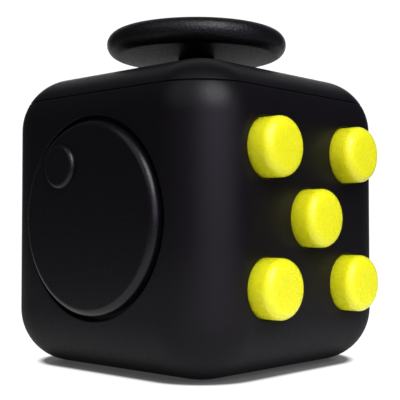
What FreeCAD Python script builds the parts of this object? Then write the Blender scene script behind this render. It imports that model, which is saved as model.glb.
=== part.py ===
"""Fidget cube: a hollow cube with five push buttons, a dial, a rocker, three click wheels with a ball, a joystick
and a thumb dish, one on each face. Millimetres, +Z up, origin at the middle of the face that the cube rests on.

+X buttons, -Y dial, -X rocker, +Y wheels and ball, +Z joystick, -Z thumb dish.

Every module is drawn in the frame of its own face: x to the right and y up as that face is looked at, z outward,
origin at the middle of the face's outer plane. Sizes come from the sheet, through expressions.
"""

import FreeCAD, Part
import math
import os
import re

import Sketcher
from FreeCAD import Placement, Rotation, Vector

DRIVING = [
    # housing
    ("side", 33.0, "cube, face to face"),
    ("wall", 1.8, "wall of the shell and of the cover"),
    ("corner_r", 6.7, "rounding of the four upright edges"),
    ("edge_r", 6.2, "rounding of the top and bottom edges"),
    ("cover_h", 3.0, "height of the cover above the seam"),
    ("lip_h", 2.0, "cover's lip, below the seam"),
    ("lip_wall", 1.0, "thickness of the lip"),
    ("seam", 0.12, "chamfer on both edges of the seam"),
    ("fit", 0.05, "gap between pieces that are fixed to each other"),
    ("run", 0.05, "gap round a turning pin"),
    ("slide_gap", 0.12, "gap round a sliding piece"),
    ("snap_w", 6.0, "length of a snap ridge"),
    ("snap_h", 0.7, "height of a snap ridge"),
    ("snap_out", 0.35, "how far a snap ridge stands out"),
    ("dish_r", 9.2, "thumb dish, radius"),
    ("dish_depth", 2.2, "thumb dish, depth"),
    ("dish_lip", 0.9, "rounding of the dish's rim"),
    # screws and the bosses that they go into
    ("boss_r", 1.6, "screw boss"),
    ("boss_h", 2.6, "screw boss, height over the inner wall"),
    ("screw_r", 0.8, "screw shank"),
    ("screw_bite", 2.2, "length of screw in its boss"),
    ("head_r", 1.4, "screw head"),
    ("head_h", 0.9, "screw head, height"),
    ("plate_t", 1.2, "thickness of every screwed plate and ear"),
    # buttons
    ("button_r", 3.1, "button cap"),
    ("button_out", 2.55, "button above the face"),
    ("button_round", 1.0, "rounding of the cap's rim"),
    ("button_u", 7.05, "outer buttons from the middle, across"),
    ("button_v", 7.13, "outer buttons from the middle, up"),
    ("button_travel", 1.0, "press"),
    ("flange_over", 0.5, "retaining flange beyond the cap"),
    ("flange_t", 0.8, "retaining flange, thickness"),
    ("plunger_r", 1.1, "plunger"),
    ("plunger_h", 0.45, "plunger, below the flange"),
    ("dome_r", 2.6, "snap and rubber domes"),
    ("snap_dome_t", 0.15, "sheet of a steel snap dome"),
    ("rubber_dome_t", 0.5, "wall of a rubber dome"),
    ("plate_clear", 0.2, "button plate to the ears beside it"),
    ("screw_edge", 1.8, "screw to the edge of its plate"),
    # dial
    ("dial_r", 10.35, "dial"),
    ("dial_gap", 0.5, "groove round the dial"),
    ("dial_out", 0.75, "dial above the face"),
    ("dial_round", 0.6, "rounding of the dial's rim"),
    ("dial_recess", 0.8, "seat of the dial in the wall"),
    ("hub_r", 2.5, "dial hub"),
    ("nub_u", -4.0, "finger nub, across"),
    ("nub_v", 5.6, "finger nub, up"),
    ("nub_r", 2.4, "finger nub"),
    ("nub_h", 0.55, "finger nub, height"),
    ("thrust_r", 5.0, "thrust washer"),
    ("thrust_t", 0.5, "thrust washer, thickness"),
    ("retainer_r", 4.4, "steel retaining washer"),
    ("retainer_t", 0.4, "steel retaining washer, thickness"),
    # rocker
    ("rocker_w", 8.0, "rocker across"),
    ("rocker_r", 7.0, "rocker's round ends, from its pin"),
    ("rocker_tilt", 10.0, "tilt each way, degrees"),
    ("rocker_mid", 2.9, "valley of the rocker over its pin"),
    ("rocker_under", 1.4, "underside of the rocker below its pin"),
    ("rocker_depth", 2.2, "rocker pin below the face"),
    ("rocker_pin_r", 0.75, "rocker pin"),
    ("rocker_gap", 0.15, "gap round the rocker"),
    ("lever", 4.6, "rocker pin to the middle of its nose"),
    ("nose_r", 0.5, "nose that rides over the leaf spring"),
    ("heel_half", 1.5, "half width of the heel"),
    ("bezel_wall", 0.8, "wall of the rocker housing"),
    ("bezel_out", 0.5, "bezel above the face"),
    ("bezel_round", 1.6, "corner of the bezel"),
    ("leaf_t", 0.2, "leaf spring"),
    ("leaf_w", 4.0, "leaf spring, width"),
    ("leaf_rise", 0.9, "leaf spring, height of its hump"),
    ("leaf_clear", 0.2, "hump below the nose's path at rest"),
    ("rocker_screw", 9.6, "rocker housing screws from the middle"),
    ("ear_half", 2.2, "half width of every ear"),
    # wheels
    ("wheel_r", 3.9, "click wheel"),
    ("wheel_t", 2.4, "click wheel, thickness"),
    ("wheel_pitch", 4.4, "wheel to wheel"),
    ("wheel_v", 5.8, "wheels above the middle of the face"),
    ("wheel_gap", 0.2, "gap between wheel and slot"),
    ("teeth", 24, "ribs round a wheel"),
    ("tooth_h", 0.4, "rib height"),
    ("axle_r", 0.7, "wheel axle"),
    ("spacer_r", 1.3, "spacer between two wheels"),
    ("cheek_gap", 0.3, "wheel to cheek"),
    ("spring_room", 0.7, "behind the wheels"),
    ("comb_t", 0.15, "click spring sheet"),
    ("finger_w", 1.6, "click spring finger"),
    # ball
    ("ball_r", 4.0, "ball"),
    ("ball_depth", 2.6, "middle of the ball below the face"),
    ("ball_v", -6.2, "ball below the middle of the face"),
    ("ball_travel", 0.6, "press"),
    ("cup_over", 0.35, "cup beyond the ball"),
    ("cup_base", 1.3, "cup behind the ball"),
    ("cup_rim", 2.0, "cup's rim behind the middle of the ball"),
    ("sleeve_wall", 0.8, "sleeve"),
    ("ring_inset", 0.7, "seat ring inside the ball's outline"),
    ("ring_w", 0.8, "seat ring, width"),
    ("ball_spring_h", 3.1, "ball spring at rest"),
    ("ball_dome_h", 0.8, "snap dome behind the ball"),
    ("ball_dome_r", 1.9, "snap dome behind the ball, radius"),
    # joystick
    ("disc_r", 10.66, "joystick disc"),
    ("disc_half", 1.42, "half the disc's thickness, and its round rim"),
    ("disc_mid", 4.17, "middle of the disc above the face"),
    ("disc_dish", 0.5, "hollow in the disc's top"),
    ("disc_dish_r", 8.4, "hollow in the disc's top, radius"),
    ("stem_r", 2.15, "joystick stem"),
    ("spigot_r", 1.5, "stem inside the disc"),
    ("stick_hole_r", 4.2, "opening in the cover"),
    ("gimbal_depth", 6.0, "joystick's pivot below the face"),
    ("stick_tilt", 10.0, "tilt about each axis, degrees"),
    ("skirt_gap", 0.3, "skirt below the opening"),
    ("skirt_t", 1.0, "skirt, thickness"),
    ("skirt_angle", 62.0, "skirt's edge from the stem's axis, degrees"),
    ("gimbal_out", 4.5, "gimbal ring, outer radius"),
    ("gimbal_in", 3.3, "gimbal ring, inner radius"),
    ("gimbal_half", 0.9, "gimbal ring, half its height"),
    ("gimbal_pin_r", 0.5, "gimbal pins"),
    ("cage_r", 7.0, "joystick cage"),
    ("cage_wall", 1.0, "joystick cage, wall"),
    ("cage_screw", 6.5, "cage screws, across and up"),
    ("cage_ear", 8.3, "cage flange, half its side"),
    ("shoulder", 2.2, "pivot to the spring's shoulder"),
    ("peg_r", 1.2, "peg inside the centring spring"),
    ("peg_h", 1.8, "peg below the shoulder"),
    ("centring_h", 4.4, "centring spring"),
    ("wire_r", 0.22, "wire of both coil springs"),
]

doc = FreeCAD.newDocument("fidget_cube")
sheet = doc.addObject("Spreadsheet::Sheet", "Sizes")
for row, (alias, size, note) in enumerate(DRIVING, start=1):
    sheet.set(f"A{row}", note)
    sheet.set(f"B{row}", str(size))
    sheet.setAlias(f"B{row}", alias)
doc.recompute()

ALIASES = {alias for alias, _, _ in DRIVING}
NODES = []

# Each face's frame, turned from the cube's, and the two cube axes that its x and y run along.
UPRIGHT = Rotation(Vector(1, 0, 0), 90)
FACES = {
    "dial": Rotation(Vector(0, 0, 1), 0) * UPRIGHT,
    "buttons": Rotation(Vector(0, 0, 1), 90) * UPRIGHT,
    "wheels": Rotation(Vector(0, 0, 1), 180) * UPRIGHT,
    "rocker": Rotation(Vector(0, 0, 1), 270) * UPRIGHT,
    "top": Rotation(),
}


# ---- helpers ----


def full(text):
    """An expression on the sheet's aliases, as another object has to write it."""
    return re.sub(r"[a-z_]\w*", lambda w: f"Sizes.{w[0]}" if w[0] in ALIASES else w[0], str(text))


def number(text):
    """What an expression on the sheet comes to now, for a sketch's first guess and for choosing edges."""
    return float(sheet.evalExpression(full(text)))


def bind(thing, prop, text):
    thing.setExpression(prop, full(text))


def point_on(face, u="0", v="0", out="0"):
    """Expressions for the cube's x, y and z of a point given in a face's frame."""
    turned = [FACES[face].multVec(axis) for axis in (Vector(1, 0, 0), Vector(0, 1, 0), Vector(0, 0, 1))]
    steps = (u, v, f"side / 2 + ({out})")
    words = []
    for k in range(3):
        terms = [f"({round(axis[k])}) * ({step})" for axis, step in zip(turned, steps) if round(axis[k])]
        words.append(" + ".join(terms) or "0")
    words[2] = f"side / 2 + {words[2]}"
    return words


def place(thing, face, u="0", v="0", out="0", turn=None):
    """Puts a piece that is drawn in a face's frame on that face, moved by u, v and out in it."""
    thing.Placement = Placement(Vector(), FACES[face] * turn if turn else FACES[face])
    for axis, words in zip("xyz", point_on(face, u, v, out)):
        bind(thing, f"Placement.Base.{axis}", words)
    return thing


def new_body(label, node=True):
    body = doc.addObject("PartDesign::Body", label)
    body.Label = label
    if node:
        NODES.append(body)
    return body


def group(label, pieces):
    """Several like pieces in one node, each still a solid of its own."""
    compound = doc.addObject("Part::Compound", label)
    compound.Label = label
    compound.Links = pieces
    NODES.append(compound)
    return compound


def new_sketch(body, plane="XY_Plane", base=("0", "0", "0"), turn=None):
    """An empty sketch on one of the body's own origin planes, moved by base and turned in it."""
    sketch = body.newObject("Sketcher::SketchObject", "Sketch")
    support = next(f for f in body.Origin.OriginFeatures if f.Role == plane)
    sketch.AttachmentSupport = (support, "")
    sketch.MapMode = "FlatFace"
    sketch.AttachmentOffset = Placement(Vector(), turn or Rotation())
    for axis, words in zip("xyz", base):
        bind(sketch, f"AttachmentOffset.Base.{axis}", words)
    return sketch


def sketch_on(body, face, out="0", u="0", v="0"):
    """A sketch in the cube's frame that lies in a face's x and y, its normal outward."""
    return new_sketch(body, base=point_on(face, u, v, out), turn=FACES[face])


def sketch_across(body, face, u="0", v="0"):
    """A sketch in the cube's frame whose x is a face's x and whose y points out of that face."""
    return new_sketch(body, base=point_on(face, u, v), turn=FACES[face] * UPRIGHT)


def sketch_sideways(body, face, u="0", v="0"):
    """A sketch in the cube's frame whose x is a face's y and whose y points out of that face."""
    return new_sketch(body, base=point_on(face, u, v), turn=FACES[face] * Rotation(Vector(1, 1, 1), 120))


def fix(sketch, kind, items, name, text):
    index = sketch.addConstraint(Sketcher.Constraint(kind, *items, number(text)))
    sketch.renameConstraint(index, name)
    bind(sketch, f"Constraints.{name}", text)


def draw(sketch, corners):
    """A closed outline. A corner is (u, v); (u, v, r) starts an arc of radius r that turns left, and
    (u, v, r, "right") one that turns right. Every corner and radius is bound to the sheet."""
    first = sketch.GeometryCount
    points = [Vector(number(c[0]), number(c[1]), 0) for c in corners]
    ends = []
    for i, corner in enumerate(corners):
        a, b = points[i], points[(i + 1) % len(points)]
        if len(corner) == 2:
            sketch.addGeometry(Part.LineSegment(a, b), False)
            ends.append((1, 2))
            continue
        left = len(corner) == 3
        start, end = (a, b) if left else (b, a)
        chord = end - start
        half = chord.Length / 2
        radius = max(number(corner[2]), half)
        middle = (start + end) / 2
        across = Vector(-chord.y, chord.x, 0).normalize()
        centre = middle + across * math.sqrt(max(radius**2 - half**2, 0.0))
        angles = [math.atan2((p - centre).y, (p - centre).x) for p in (start, end)]
        circle = Part.Circle(centre, Vector(0, 0, 1), radius)
        sketch.addGeometry(Part.ArcOfCircle(circle, *angles), False)
        ends.append((1, 2) if left else (2, 1))
    for i, corner in enumerate(corners):
        here, following = first + i, first + (i + 1) % len(corners)
        after = ends[(i + 1) % len(corners)][0]
        sketch.addConstraint(Sketcher.Constraint("Coincident", here, ends[i][1], following, after))
        fix(sketch, "DistanceX", (-1, 1, here, ends[i][0]), f"u{here}", corner[0])
        fix(sketch, "DistanceY", (-1, 1, here, ends[i][0]), f"v{here}", corner[1])
        if len(corner) > 2:
            fix(sketch, "Radius", (here,), f"r{here}", corner[2])
    return sketch


def draw_circle(sketch, radius, u="0", v="0"):
    here = sketch.GeometryCount
    circle = Part.Circle(Vector(number(u), number(v), 0), Vector(0, 0, 1), number(radius))
    sketch.addGeometry(circle, False)
    fix(sketch, "DistanceX", (-1, 1, here, 3), f"u{here}", u)
    fix(sketch, "DistanceY", (-1, 1, here, 3), f"v{here}", v)
    fix(sketch, "Radius", (here,), f"r{here}", radius)
    return sketch


def box(half_u, half_v, u="0", v="0"):
    """Corners of a rectangle."""
    signs = ((-1, -1), (1, -1), (1, 1), (-1, 1))
    return [(f"{u} + {a} * ({half_u})", f"{v} + {b} * ({half_v})") for a, b in signs]


def rounded(half_u, half_v, r):
    """Corners of a rectangle with round corners, each an arc of radius r."""
    found = []
    for a, b in ((1, -1), (1, 1), (-1, 1), (-1, -1)):
        beside = (f"{a} * ({half_u} - ({r}))", f"{b} * ({half_v})")
        along = (f"{a} * ({half_u})", f"{b} * ({half_v} - ({r}))")
        start, end = (beside, along) if a * b < 0 else (along, beside)
        found += [(*start, r), end]
    return found


def feature(body, kind, sketch, **values):
    """A PartDesign feature on a sketch, with its sizes bound and its switches set."""
    made = body.newObject(f"PartDesign::{kind}", kind)
    made.Profile = sketch
    for prop, value in values.items():
        if isinstance(value, str):
            bind(made, prop, value)
        else:
            setattr(made, prop, value)
    sketch.Visibility = False
    return made


def pad(body, sketch, length, **switches):
    return feature(body, "Pad", sketch, Length=length, **switches)


def pocket(body, sketch, length, **switches):
    return feature(body, "Pocket", sketch, Length=length, **switches)


def revolve(body, sketch, kind="Revolution"):
    return feature(body, kind, sketch, ReferenceAxis=(sketch, ["V_Axis"]), Angle="360")


def dress(body, kind, prop, size, choose):
    """A fillet or chamfer on the edges of the body so far that choose picks."""
    doc.recompute()
    base = body.Tip
    names = [f"Edge{i}" for i, edge in enumerate(base.Shape.Edges, start=1) if choose(edge)]
    made = body.newObject(f"PartDesign::{kind}", kind)
    made.Base = (base, names)
    bind(made, prop, size)
    return made


def level(edge, height):
    """Whether an edge lies flat at a height."""
    box_ = edge.BoundBox
    return abs(box_.ZMin - height) < 1e-4 and abs(box_.ZMax - height) < 1e-4


def turned(label, profile, plane="XZ_Plane", node=True):
    """A body of revolution about its z axis, from a profile in radius and height."""
    body = new_body(label, node)
    revolve(body, draw(new_sketch(body, plane), profile))
    return body


def tube(label, inner, outer, low, high, node=True):
    """A plain ring round z between two heights."""
    return turned(label, [(inner, low), (outer, low), (outer, high), (inner, high)], node=node)


# ---- housing ----


def full_block(body):
    """The cube with all its edges round, before anything is cut from it."""
    pad(body, draw(new_sketch(body), rounded("side / 2", "side / 2", "corner_r")), "side")
    top = number("side")
    dress(body, "Fillet", "Radius", "edge_r", lambda e: level(e, 0) or level(e, top))


def boss_points():
    """(face, u, v) of each screw boss inside the shell."""
    spots = [("buttons", u, v) for u, v in PLATE_SCREWS]
    spots += [("rocker", u, v) for u, v in ROCKER_SCREWS]
    spots += [("wheels", u, v) for u, v in BRACKET_SCREWS + SLEEVE_SCREWS]
    return spots


def cut_dish(body):
    """The thumb dish in the bottom, a shallow ball-shaped hollow with a wall of even thickness behind it."""
    ball = "((dish_r ^ 2 + dish_depth ^ 2) / (2 * dish_depth))"
    outer = f"({ball} + wall)"
    foot = f"sqrt({outer} ^ 2 - ({outer} - dish_depth) ^ 2)"
    lens = draw(new_sketch(body, "XZ_Plane"), [("0", "wall"), (foot, "wall", outer), ("0", "dish_depth + wall")])
    revolve(body, lens)
    hollow = draw(new_sketch(body, "XZ_Plane"), [("0", "0"), ("dish_r", "0", ball), ("0", "dish_depth")])
    revolve(body, hollow, "Groove")
    reach = number("dish_r")
    dress(
        body, "Fillet", "Radius", "dish_lip",
        lambda e: level(e, 0) and abs(e.BoundBox.XMax - reach) < 1e-3,
    )


def make_shell():
    """Four walls and the bottom in one moulding, open at the top."""
    body = new_body("body_shell")
    full_block(body)
    seam = "side - cover_h"
    pocket(body, draw(new_sketch(body, base=("0", "0", "side")), box("side", "side")), "cover_h")
    hollow = new_body("shell_hollow", node=False)
    inner = rounded("side / 2 - wall", "side / 2 - wall", "corner_r - wall")
    pad(hollow, draw(new_sketch(hollow, base=("0", "0", "wall")), inner), "side")
    floor = number("wall")
    dress(hollow, "Fillet", "Radius", "edge_r - wall", lambda e: level(e, floor))
    cut = body.newObject("PartDesign::Boolean", "Hollow")
    cut.setObjects([hollow])
    cut.Type = "Cut"
    cut_dish(body)
    for u, v in BUTTONS.values():
        pocket(body, draw_circle(sketch_on(body, "buttons"), "button_r + slide_gap", u, v), "wall + 1")
        room = draw_circle(sketch_on(body, "buttons", "-wall"), "button_r + flange_over + slide_gap", u, v)
        pocket(body, room, "slide_gap + flange_t + button_travel")
    pocket(body, draw_circle(sketch_on(body, "dial", "1"), "dial_r + dial_gap"), "dial_recess + 1")
    pocket(body, draw_circle(sketch_on(body, "dial"), "hub_r + run * 2"), "wall + 1")
    opening = rounded(f"{BEZEL_HALF_U} + fit", f"{BEZEL_HALF_V} + fit", "bezel_round + fit")
    pocket(body, draw(sketch_on(body, "rocker"), opening), "wall + 1")
    for u in WHEELS.values():
        slot = draw_circle(sketch_sideways(body, "wheels", u), "wheel_r + wheel_gap", "wheel_v", f"-({AXLE_DEPTH})")
        pocket(body, slot, "wheel_t + 2 * wheel_gap", Midplane=True)
    groove = draw_circle(sketch_sideways(body, "wheels"), "spacer_r + 0.15", "wheel_v", f"-{AXLE_DEPTH}")
    pocket(body, groove, "2 * wheel_pitch", Midplane=True)
    socket = draw(sketch_across(body, "wheels", v="ball_v"), half_ball("ball_r + slide_gap", "-ball_depth"))
    revolve(body, socket, "Groove")
    for face, u, v in boss_points():
        pad(body, draw_circle(sketch_on(body, face, "0.5 - wall"), "boss_r", u, v), "boss_h + 0.5", Reversed=True)
    for face, u, v in boss_points():
        hole = draw_circle(sketch_on(body, face, "-(wall + boss_h)"), "screw_r + 0.02", u, v)
        pocket(body, hole, "screw_bite + 0.2", Reversed=True)
    for face in ("buttons", "dial", "wheels", "rocker"):
        notch = draw(sketch_on(body, face, "-(wall + 0.5)"), box("snap_w / 2 + fit", "snap_h / 2 + fit", v=SNAP_V))
        pocket(body, notch, "snap_out + fit + 0.5", Reversed=True)
    rim, outside = number(seam), number("side / 2 - wall") + 0.3
    dress(
        body, "Chamfer", "Size", "seam",
        lambda e: level(e, rim) and corner_reach(e) > outside,
    )


def corner_reach(edge):
    """How far out an edge's middle lies, as a share of a square about z: its larger of |x| and |y|, with the
    round corners measured from their own centres."""
    middle = edge.valueAt((edge.FirstParameter + edge.LastParameter) / 2)
    square = number("side / 2 - corner_r")
    over = [max(abs(c) - square, 0.0) for c in (middle.x, middle.y)]
    return square + math.hypot(*over)


def half_ball(radius, height):
    """Profile of a whole ball about the sketch's upright axis, centre at a height."""
    return [("0", f"{height} - ({radius})", radius), (radius, height, radius), ("0", f"{height} + ({radius})")]


def make_cover():
    """The joystick's face, with a lip that snaps into the shell."""
    body = new_body("top_cover")
    full_block(body)
    seam = "side - cover_h"
    pocket(body, draw(new_sketch(body), box("side", "side")), seam, Reversed=True)
    edge, outside = number(seam), number("side / 2 - wall") + 0.3
    dress(body, "Chamfer", "Size", "seam", lambda e: level(e, edge) and corner_reach(e) > outside)
    outer = "side / 2 - wall - fit"
    lip = draw(new_sketch(body, base=("0", "0", f"{seam} + 0.5")), rounded(outer, outer, "corner_r - wall - fit"))
    pad(body, lip, "lip_h + 0.5", Reversed=True)
    inner = f"{outer} - lip_wall"
    hollow = draw(
        new_sketch(body, base=("0", "0", f"{seam} - lip_h")),
        rounded(inner, inner, "corner_r - wall - fit - lip_wall"),
    )
    pocket(body, hollow, "cover_h + lip_h - wall", Reversed=True)
    for u, v in CAGE_SCREWS:
        pad(body, draw_circle(sketch_on(body, "top", "0.5 - wall"), "boss_r", u, v), "boss_h + 0.5", Reversed=True)
    for u, v in CAGE_SCREWS:
        hole = draw_circle(sketch_on(body, "top", "-(wall + boss_h)"), "screw_r + 0.02", u, v)
        pocket(body, hole, "screw_bite + 0.2", Reversed=True)
    for face in ("buttons", "dial", "wheels", "rocker"):
        ridge = draw(sketch_on(body, face, "-(wall + fit + lip_wall / 2)"), box("snap_w / 2", "snap_h / 2", v=SNAP_V))
        pad(body, ridge, "lip_wall / 2 + snap_out")
    pocket(body, draw_circle(sketch_on(body, "top"), "stick_hole_r"), "wall + 1")
    top, reach = number("side"), number("stick_hole_r")
    dress(
        body, "Fillet", "Radius", "wall / 4",
        lambda e: level(e, top) and abs(e.BoundBox.XMax - reach) < 1e-3,
    )


# ---- screws ----


def make_screws(label, face, spots, plate="boss_h"):
    """Like screws in one node: pan heads inside the cube, shanks in the bosses."""
    seat = f"-(wall + {plate} + plate_t)"
    made = []
    for i, (u, v) in enumerate(spots, start=1):
        made.append(place(new_screw(f"{label}_{i}", "plate_t + screw_bite"), face, u, v, seat))
    return group(label, made)


def new_screw(label, shank, node=False):
    """A cross-head screw along z: its head's seat at z = 0, its shank towards +z."""
    profile = [
        ("0", "-head_h"), ("head_r - 0.3", "-head_h"), ("head_r", "0.3 - head_h"), ("head_r", "0"),
        ("screw_r", "0"), ("screw_r", f"{shank} - 0.3"), ("screw_r - 0.3", shank), ("0", shank),
    ]
    body = turned(label, profile, node=node)
    arm, across = "head_r * 0.62", "head_r * 0.16"
    cross = []
    for a, b in ((1, -1), (1, 1), (-1, 1), (-1, -1)):
        tip = (f"{a} * {arm}", f"{b} * {across}")
        side = (f"{a} * {across}", f"{b} * {arm}")
        knee = (f"{a} * {across}", f"{b} * {across}")
        cross += [side, knee, tip] if a * b < 0 else [tip, knee, side]
    pocket(body, draw(new_sketch(body, base=("0", "0", "-head_h")), cross), "head_h * 0.5", Reversed=True)
    return body


# ---- buttons ----

FLANGE_TOP = "-(wall + slide_gap)"
PLUNGER_END = "-(wall + slide_gap + flange_t + plunger_h)"
BUTTON_DOME_H = "(boss_h - slide_gap - flange_t - plunger_h)"
BUTTONS = {
    "upper_near": ("-button_u", "button_v"),
    "upper_far": ("button_u", "button_v"),
    "centre": ("0", "0"),
    "lower_near": ("-button_u", "-button_v"),
    "lower_far": ("button_u", "-button_v"),
}
SILENT = ("upper_far", "lower_near")
PLATE_HALF = "(side / 2 - wall - boss_h - plate_t - plate_clear)"
PLATE_SCREW = f"({PLATE_HALF} - screw_edge)"
PLATE_SCREWS = [(PLATE_SCREW, "0"), (f"-{PLATE_SCREW}", "0"), ("0", PLATE_SCREW), ("0", f"-{PLATE_SCREW}")]


def dome_profile(radius, height, thick, low):
    """A domed shell, its rim at the height low: a ball-shaped cap over a short straight rim."""
    inner, rise = f"({radius} - {thick})", f"({height} - {thick})"
    outer_ball = f"(({radius}) ^ 2 + ({height}) ^ 2) / (2 * ({height}))"
    inner_ball = f"({inner} ^ 2 + {rise} ^ 2) / (2 * {rise})"
    return [
        (inner, low), (radius, low, outer_ball), ("0", f"{low} + {height}"),
        ("0", f"{low} + {rise}", inner_ball, "right"),
    ]


def make_buttons():
    for name, (u, v) in BUTTONS.items():
        cap = [
            ("0", PLUNGER_END), ("plunger_r", PLUNGER_END), ("plunger_r", f"{FLANGE_TOP} - flange_t"),
            ("button_r + flange_over", f"{FLANGE_TOP} - flange_t"), ("button_r + flange_over", FLANGE_TOP),
            ("button_r", FLANGE_TOP), ("button_r", "button_out - button_round", "button_round"),
            ("button_r - button_round", "button_out"), ("0", "button_out"),
        ]
        place(turned(f"button_{name}", cap), "buttons", u, v)
        thick = "rubber_dome_t" if name in SILENT else "snap_dome_t"
        dome = dome_profile("dome_r", BUTTON_DOME_H, thick, "-(wall + boss_h)")
        kind = "rubber" if name in SILENT else "snap"
        place(turned(f"{kind}_dome_{name}", dome), "buttons", u, v)
    make_button_plate()
    make_screws("button_plate_screws", "buttons", PLATE_SCREWS)


def make_button_plate():
    """The plate behind the buttons, which carries their domes."""
    body = place(new_body("button_plate"), "buttons")
    low = ("0", "0", "-(wall + boss_h + plate_t)")
    pad(body, draw(new_sketch(body, base=low), rounded(PLATE_HALF, PLATE_HALF, "2.5")), "plate_t")
    for u, v in PLATE_SCREWS:
        pocket(body, draw_circle(new_sketch(body, base=low), "screw_r + 0.1", u, v), "plate_t + 1", Reversed=True)
    for u, v in BUTTONS.values():
        pocket(body, draw_circle(new_sketch(body, base=low), "plunger_r", u, v), "plate_t + 1", Reversed=True)


# ---- dial ----

HUB_END = "-(wall + thrust_t + run)"


def make_dial():
    """The dial turns on its hub in the wall; a washer and a screw inside hold it."""
    under = "run - dial_recess"
    rim = [
        ("0", HUB_END), ("hub_r", HUB_END), ("hub_r", under), ("dial_r", under),
        ("dial_r", "dial_out - dial_round", "dial_round"), ("dial_r - dial_round", "dial_out"), ("0", "dial_out"),
    ]
    dial = place(turned("dial", rim), "dial")
    nub = [
        ("0", "dial_out / 2"), ("nub_r", "dial_out / 2"), ("nub_r", "dial_out", "nub_h"),
        ("nub_r - nub_h", "dial_out + nub_h"), ("0", "dial_out + nub_h"),
    ]
    revolve(dial, draw(new_sketch(dial, "XZ_Plane", ("nub_u", "0", "-nub_v")), nub))
    bore = draw_circle(new_sketch(dial, base=("0", "0", HUB_END)), "screw_r + 0.02")
    pocket(dial, bore, "screw_bite + 0.1", Reversed=True)
    thrust = tube("dial_thrust_washer", "hub_r + run * 2", "thrust_r", "-(wall + thrust_t)", "-wall")
    place(thrust, "dial")
    retainer = tube("dial_retaining_washer", "screw_r + fit", "retainer_r", f"{HUB_END} - retainer_t", HUB_END)
    place(retainer, "dial")
    screw = new_screw("dial_screw", "retainer_t + screw_bite - 0.2", node=True)
    place(screw, "dial", out=f"{HUB_END} - retainer_t")


# ---- rocker ----

BEZEL_HALF_U = "(rocker_w / 2 + rocker_gap + bezel_wall)"
BEZEL_HALF_V = "(rocker_r + rocker_gap + bezel_wall)"
LEAF_TOP = "(rocker_depth + lever + leaf_clear)"
LEAF_FLOOR = f"({LEAF_TOP} + leaf_rise)"
ROCKER_SCREWS = [("0", "rocker_screw"), ("0", "-rocker_screw")]


def make_rocker():
    """A two-way rocker on a steel pin. Its nose snaps over the hump of a leaf spring."""
    body = new_body("rocker")
    tip = "(rocker_mid + 5.9 * tan(rocker_tilt * 1 deg))"
    reach = f"sqrt(rocker_r ^ 2 - {tip} ^ 2)"
    low = "sqrt(rocker_r ^ 2 - rocker_under ^ 2)"
    side = [
        ("heel_half", "-rocker_under"), (low, "-rocker_under", "rocker_r"), (reach, tip), ("0", "rocker_mid"),
        (f"-{reach}", tip, "rocker_r"), (f"-{low}", "-rocker_under"), ("-heel_half", "-rocker_under"),
        ("-nose_r", "-lever", "nose_r"), ("0", "-(lever + nose_r)", "nose_r"), ("nose_r", "-lever"),
    ]
    pad(body, draw(new_sketch(body, "YZ_Plane"), side), "rocker_w", Midplane=True)
    pocket(body, draw_circle(new_sketch(body, "YZ_Plane"), "rocker_pin_r + run"), "rocker_w + 2", Midplane=True)
    tops = number(tip)
    dress(
        body, "Fillet", "Radius", "0.45",
        lambda e: e.BoundBox.ZMin > number("rocker_mid") - 0.01 and abs(e.BoundBox.ZMax - tops) < 0.01,
    )
    place(body, "rocker", out="-rocker_depth", turn=Rotation(Vector(1, 0, 0), -number("rocker_tilt")))
    pin = new_body("rocker_pivot_pin")
    pad(pin, draw_circle(new_sketch(pin, "YZ_Plane"), "rocker_pin_r"), f"2 * {BEZEL_HALF_U}", Midplane=True)
    place(pin, "rocker", out="-rocker_depth")
    make_rocker_housing()
    make_leaf()
    make_screws("rocker_screws", "rocker", ROCKER_SCREWS)


def make_rocker_housing():
    """The bezel and box that the rocker sits in, with an ear above and below for its screws."""
    body = place(new_body("rocker_housing"), "rocker")
    depth = f"({LEAF_FLOOR} + bezel_wall)"
    case = draw(new_sketch(body, base=("0", "0", f"-{depth}")), rounded(BEZEL_HALF_U, BEZEL_HALF_V, "bezel_round"))
    pad(body, case, f"{depth} + bezel_out")
    ears = draw(new_sketch(body, base=("0", "0", "-(wall + boss_h + plate_t)")), box("ear_half", "rocker_screw + ear_half"))
    pad(body, ears, "plate_t")
    room = rounded("rocker_w / 2 + rocker_gap", "rocker_r + rocker_gap", "bezel_round / 4")
    pocket(body, draw(new_sketch(body, base=("0", "0", "bezel_out")), room), f"{LEAF_FLOOR} + bezel_out")
    for u, v in ROCKER_SCREWS:
        hole = draw_circle(new_sketch(body, base=("0", "0", "-(wall + boss_h)")), "screw_r + 0.1", u, v)
        pocket(body, hole, "plate_t + 1")
    pin_hole = draw_circle(new_sketch(body, "YZ_Plane"), "rocker_pin_r + 0.02", "0", "-rocker_depth")
    pocket(body, pin_hole, f"2 * {BEZEL_HALF_U} + 2", Midplane=True)
    top = number("bezel_out")
    dress(body, "Fillet", "Radius", "0.3", lambda e: level(e, top))


def make_leaf():
    """A bent strip of spring steel on the housing's floor, its hump under the rocker's nose."""
    body = place(new_body("rocker_leaf_spring"), "rocker")
    end, foot, knee = "rocker_r - 0.2", "rocker_r - 1.6", "1.25"
    floor, peak = f"-{LEAF_FLOOR}", f"-{LEAF_TOP}"
    below = [(f"-({end})", floor), (f"-({foot})", floor), (f"-{knee}", f"{floor} + 0.3"), ("0", f"{peak} - leaf_t")]
    below += [(knee, f"{floor} + 0.3"), (foot, floor), (end, floor)]
    above = [(end, f"{floor} + leaf_t"), (foot, f"{floor} + leaf_t"), (knee, f"{floor} + 0.3 + leaf_t"), ("0", peak)]
    above += [(f"-{knee}", f"{floor} + 0.3 + leaf_t"), (f"-({foot})", f"{floor} + leaf_t")]
    above += [(f"-({end})", f"{floor} + leaf_t")]
    pad(body, draw(new_sketch(body, "YZ_Plane"), below + above), "leaf_w", Midplane=True)


# ---- wheels ----

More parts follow.
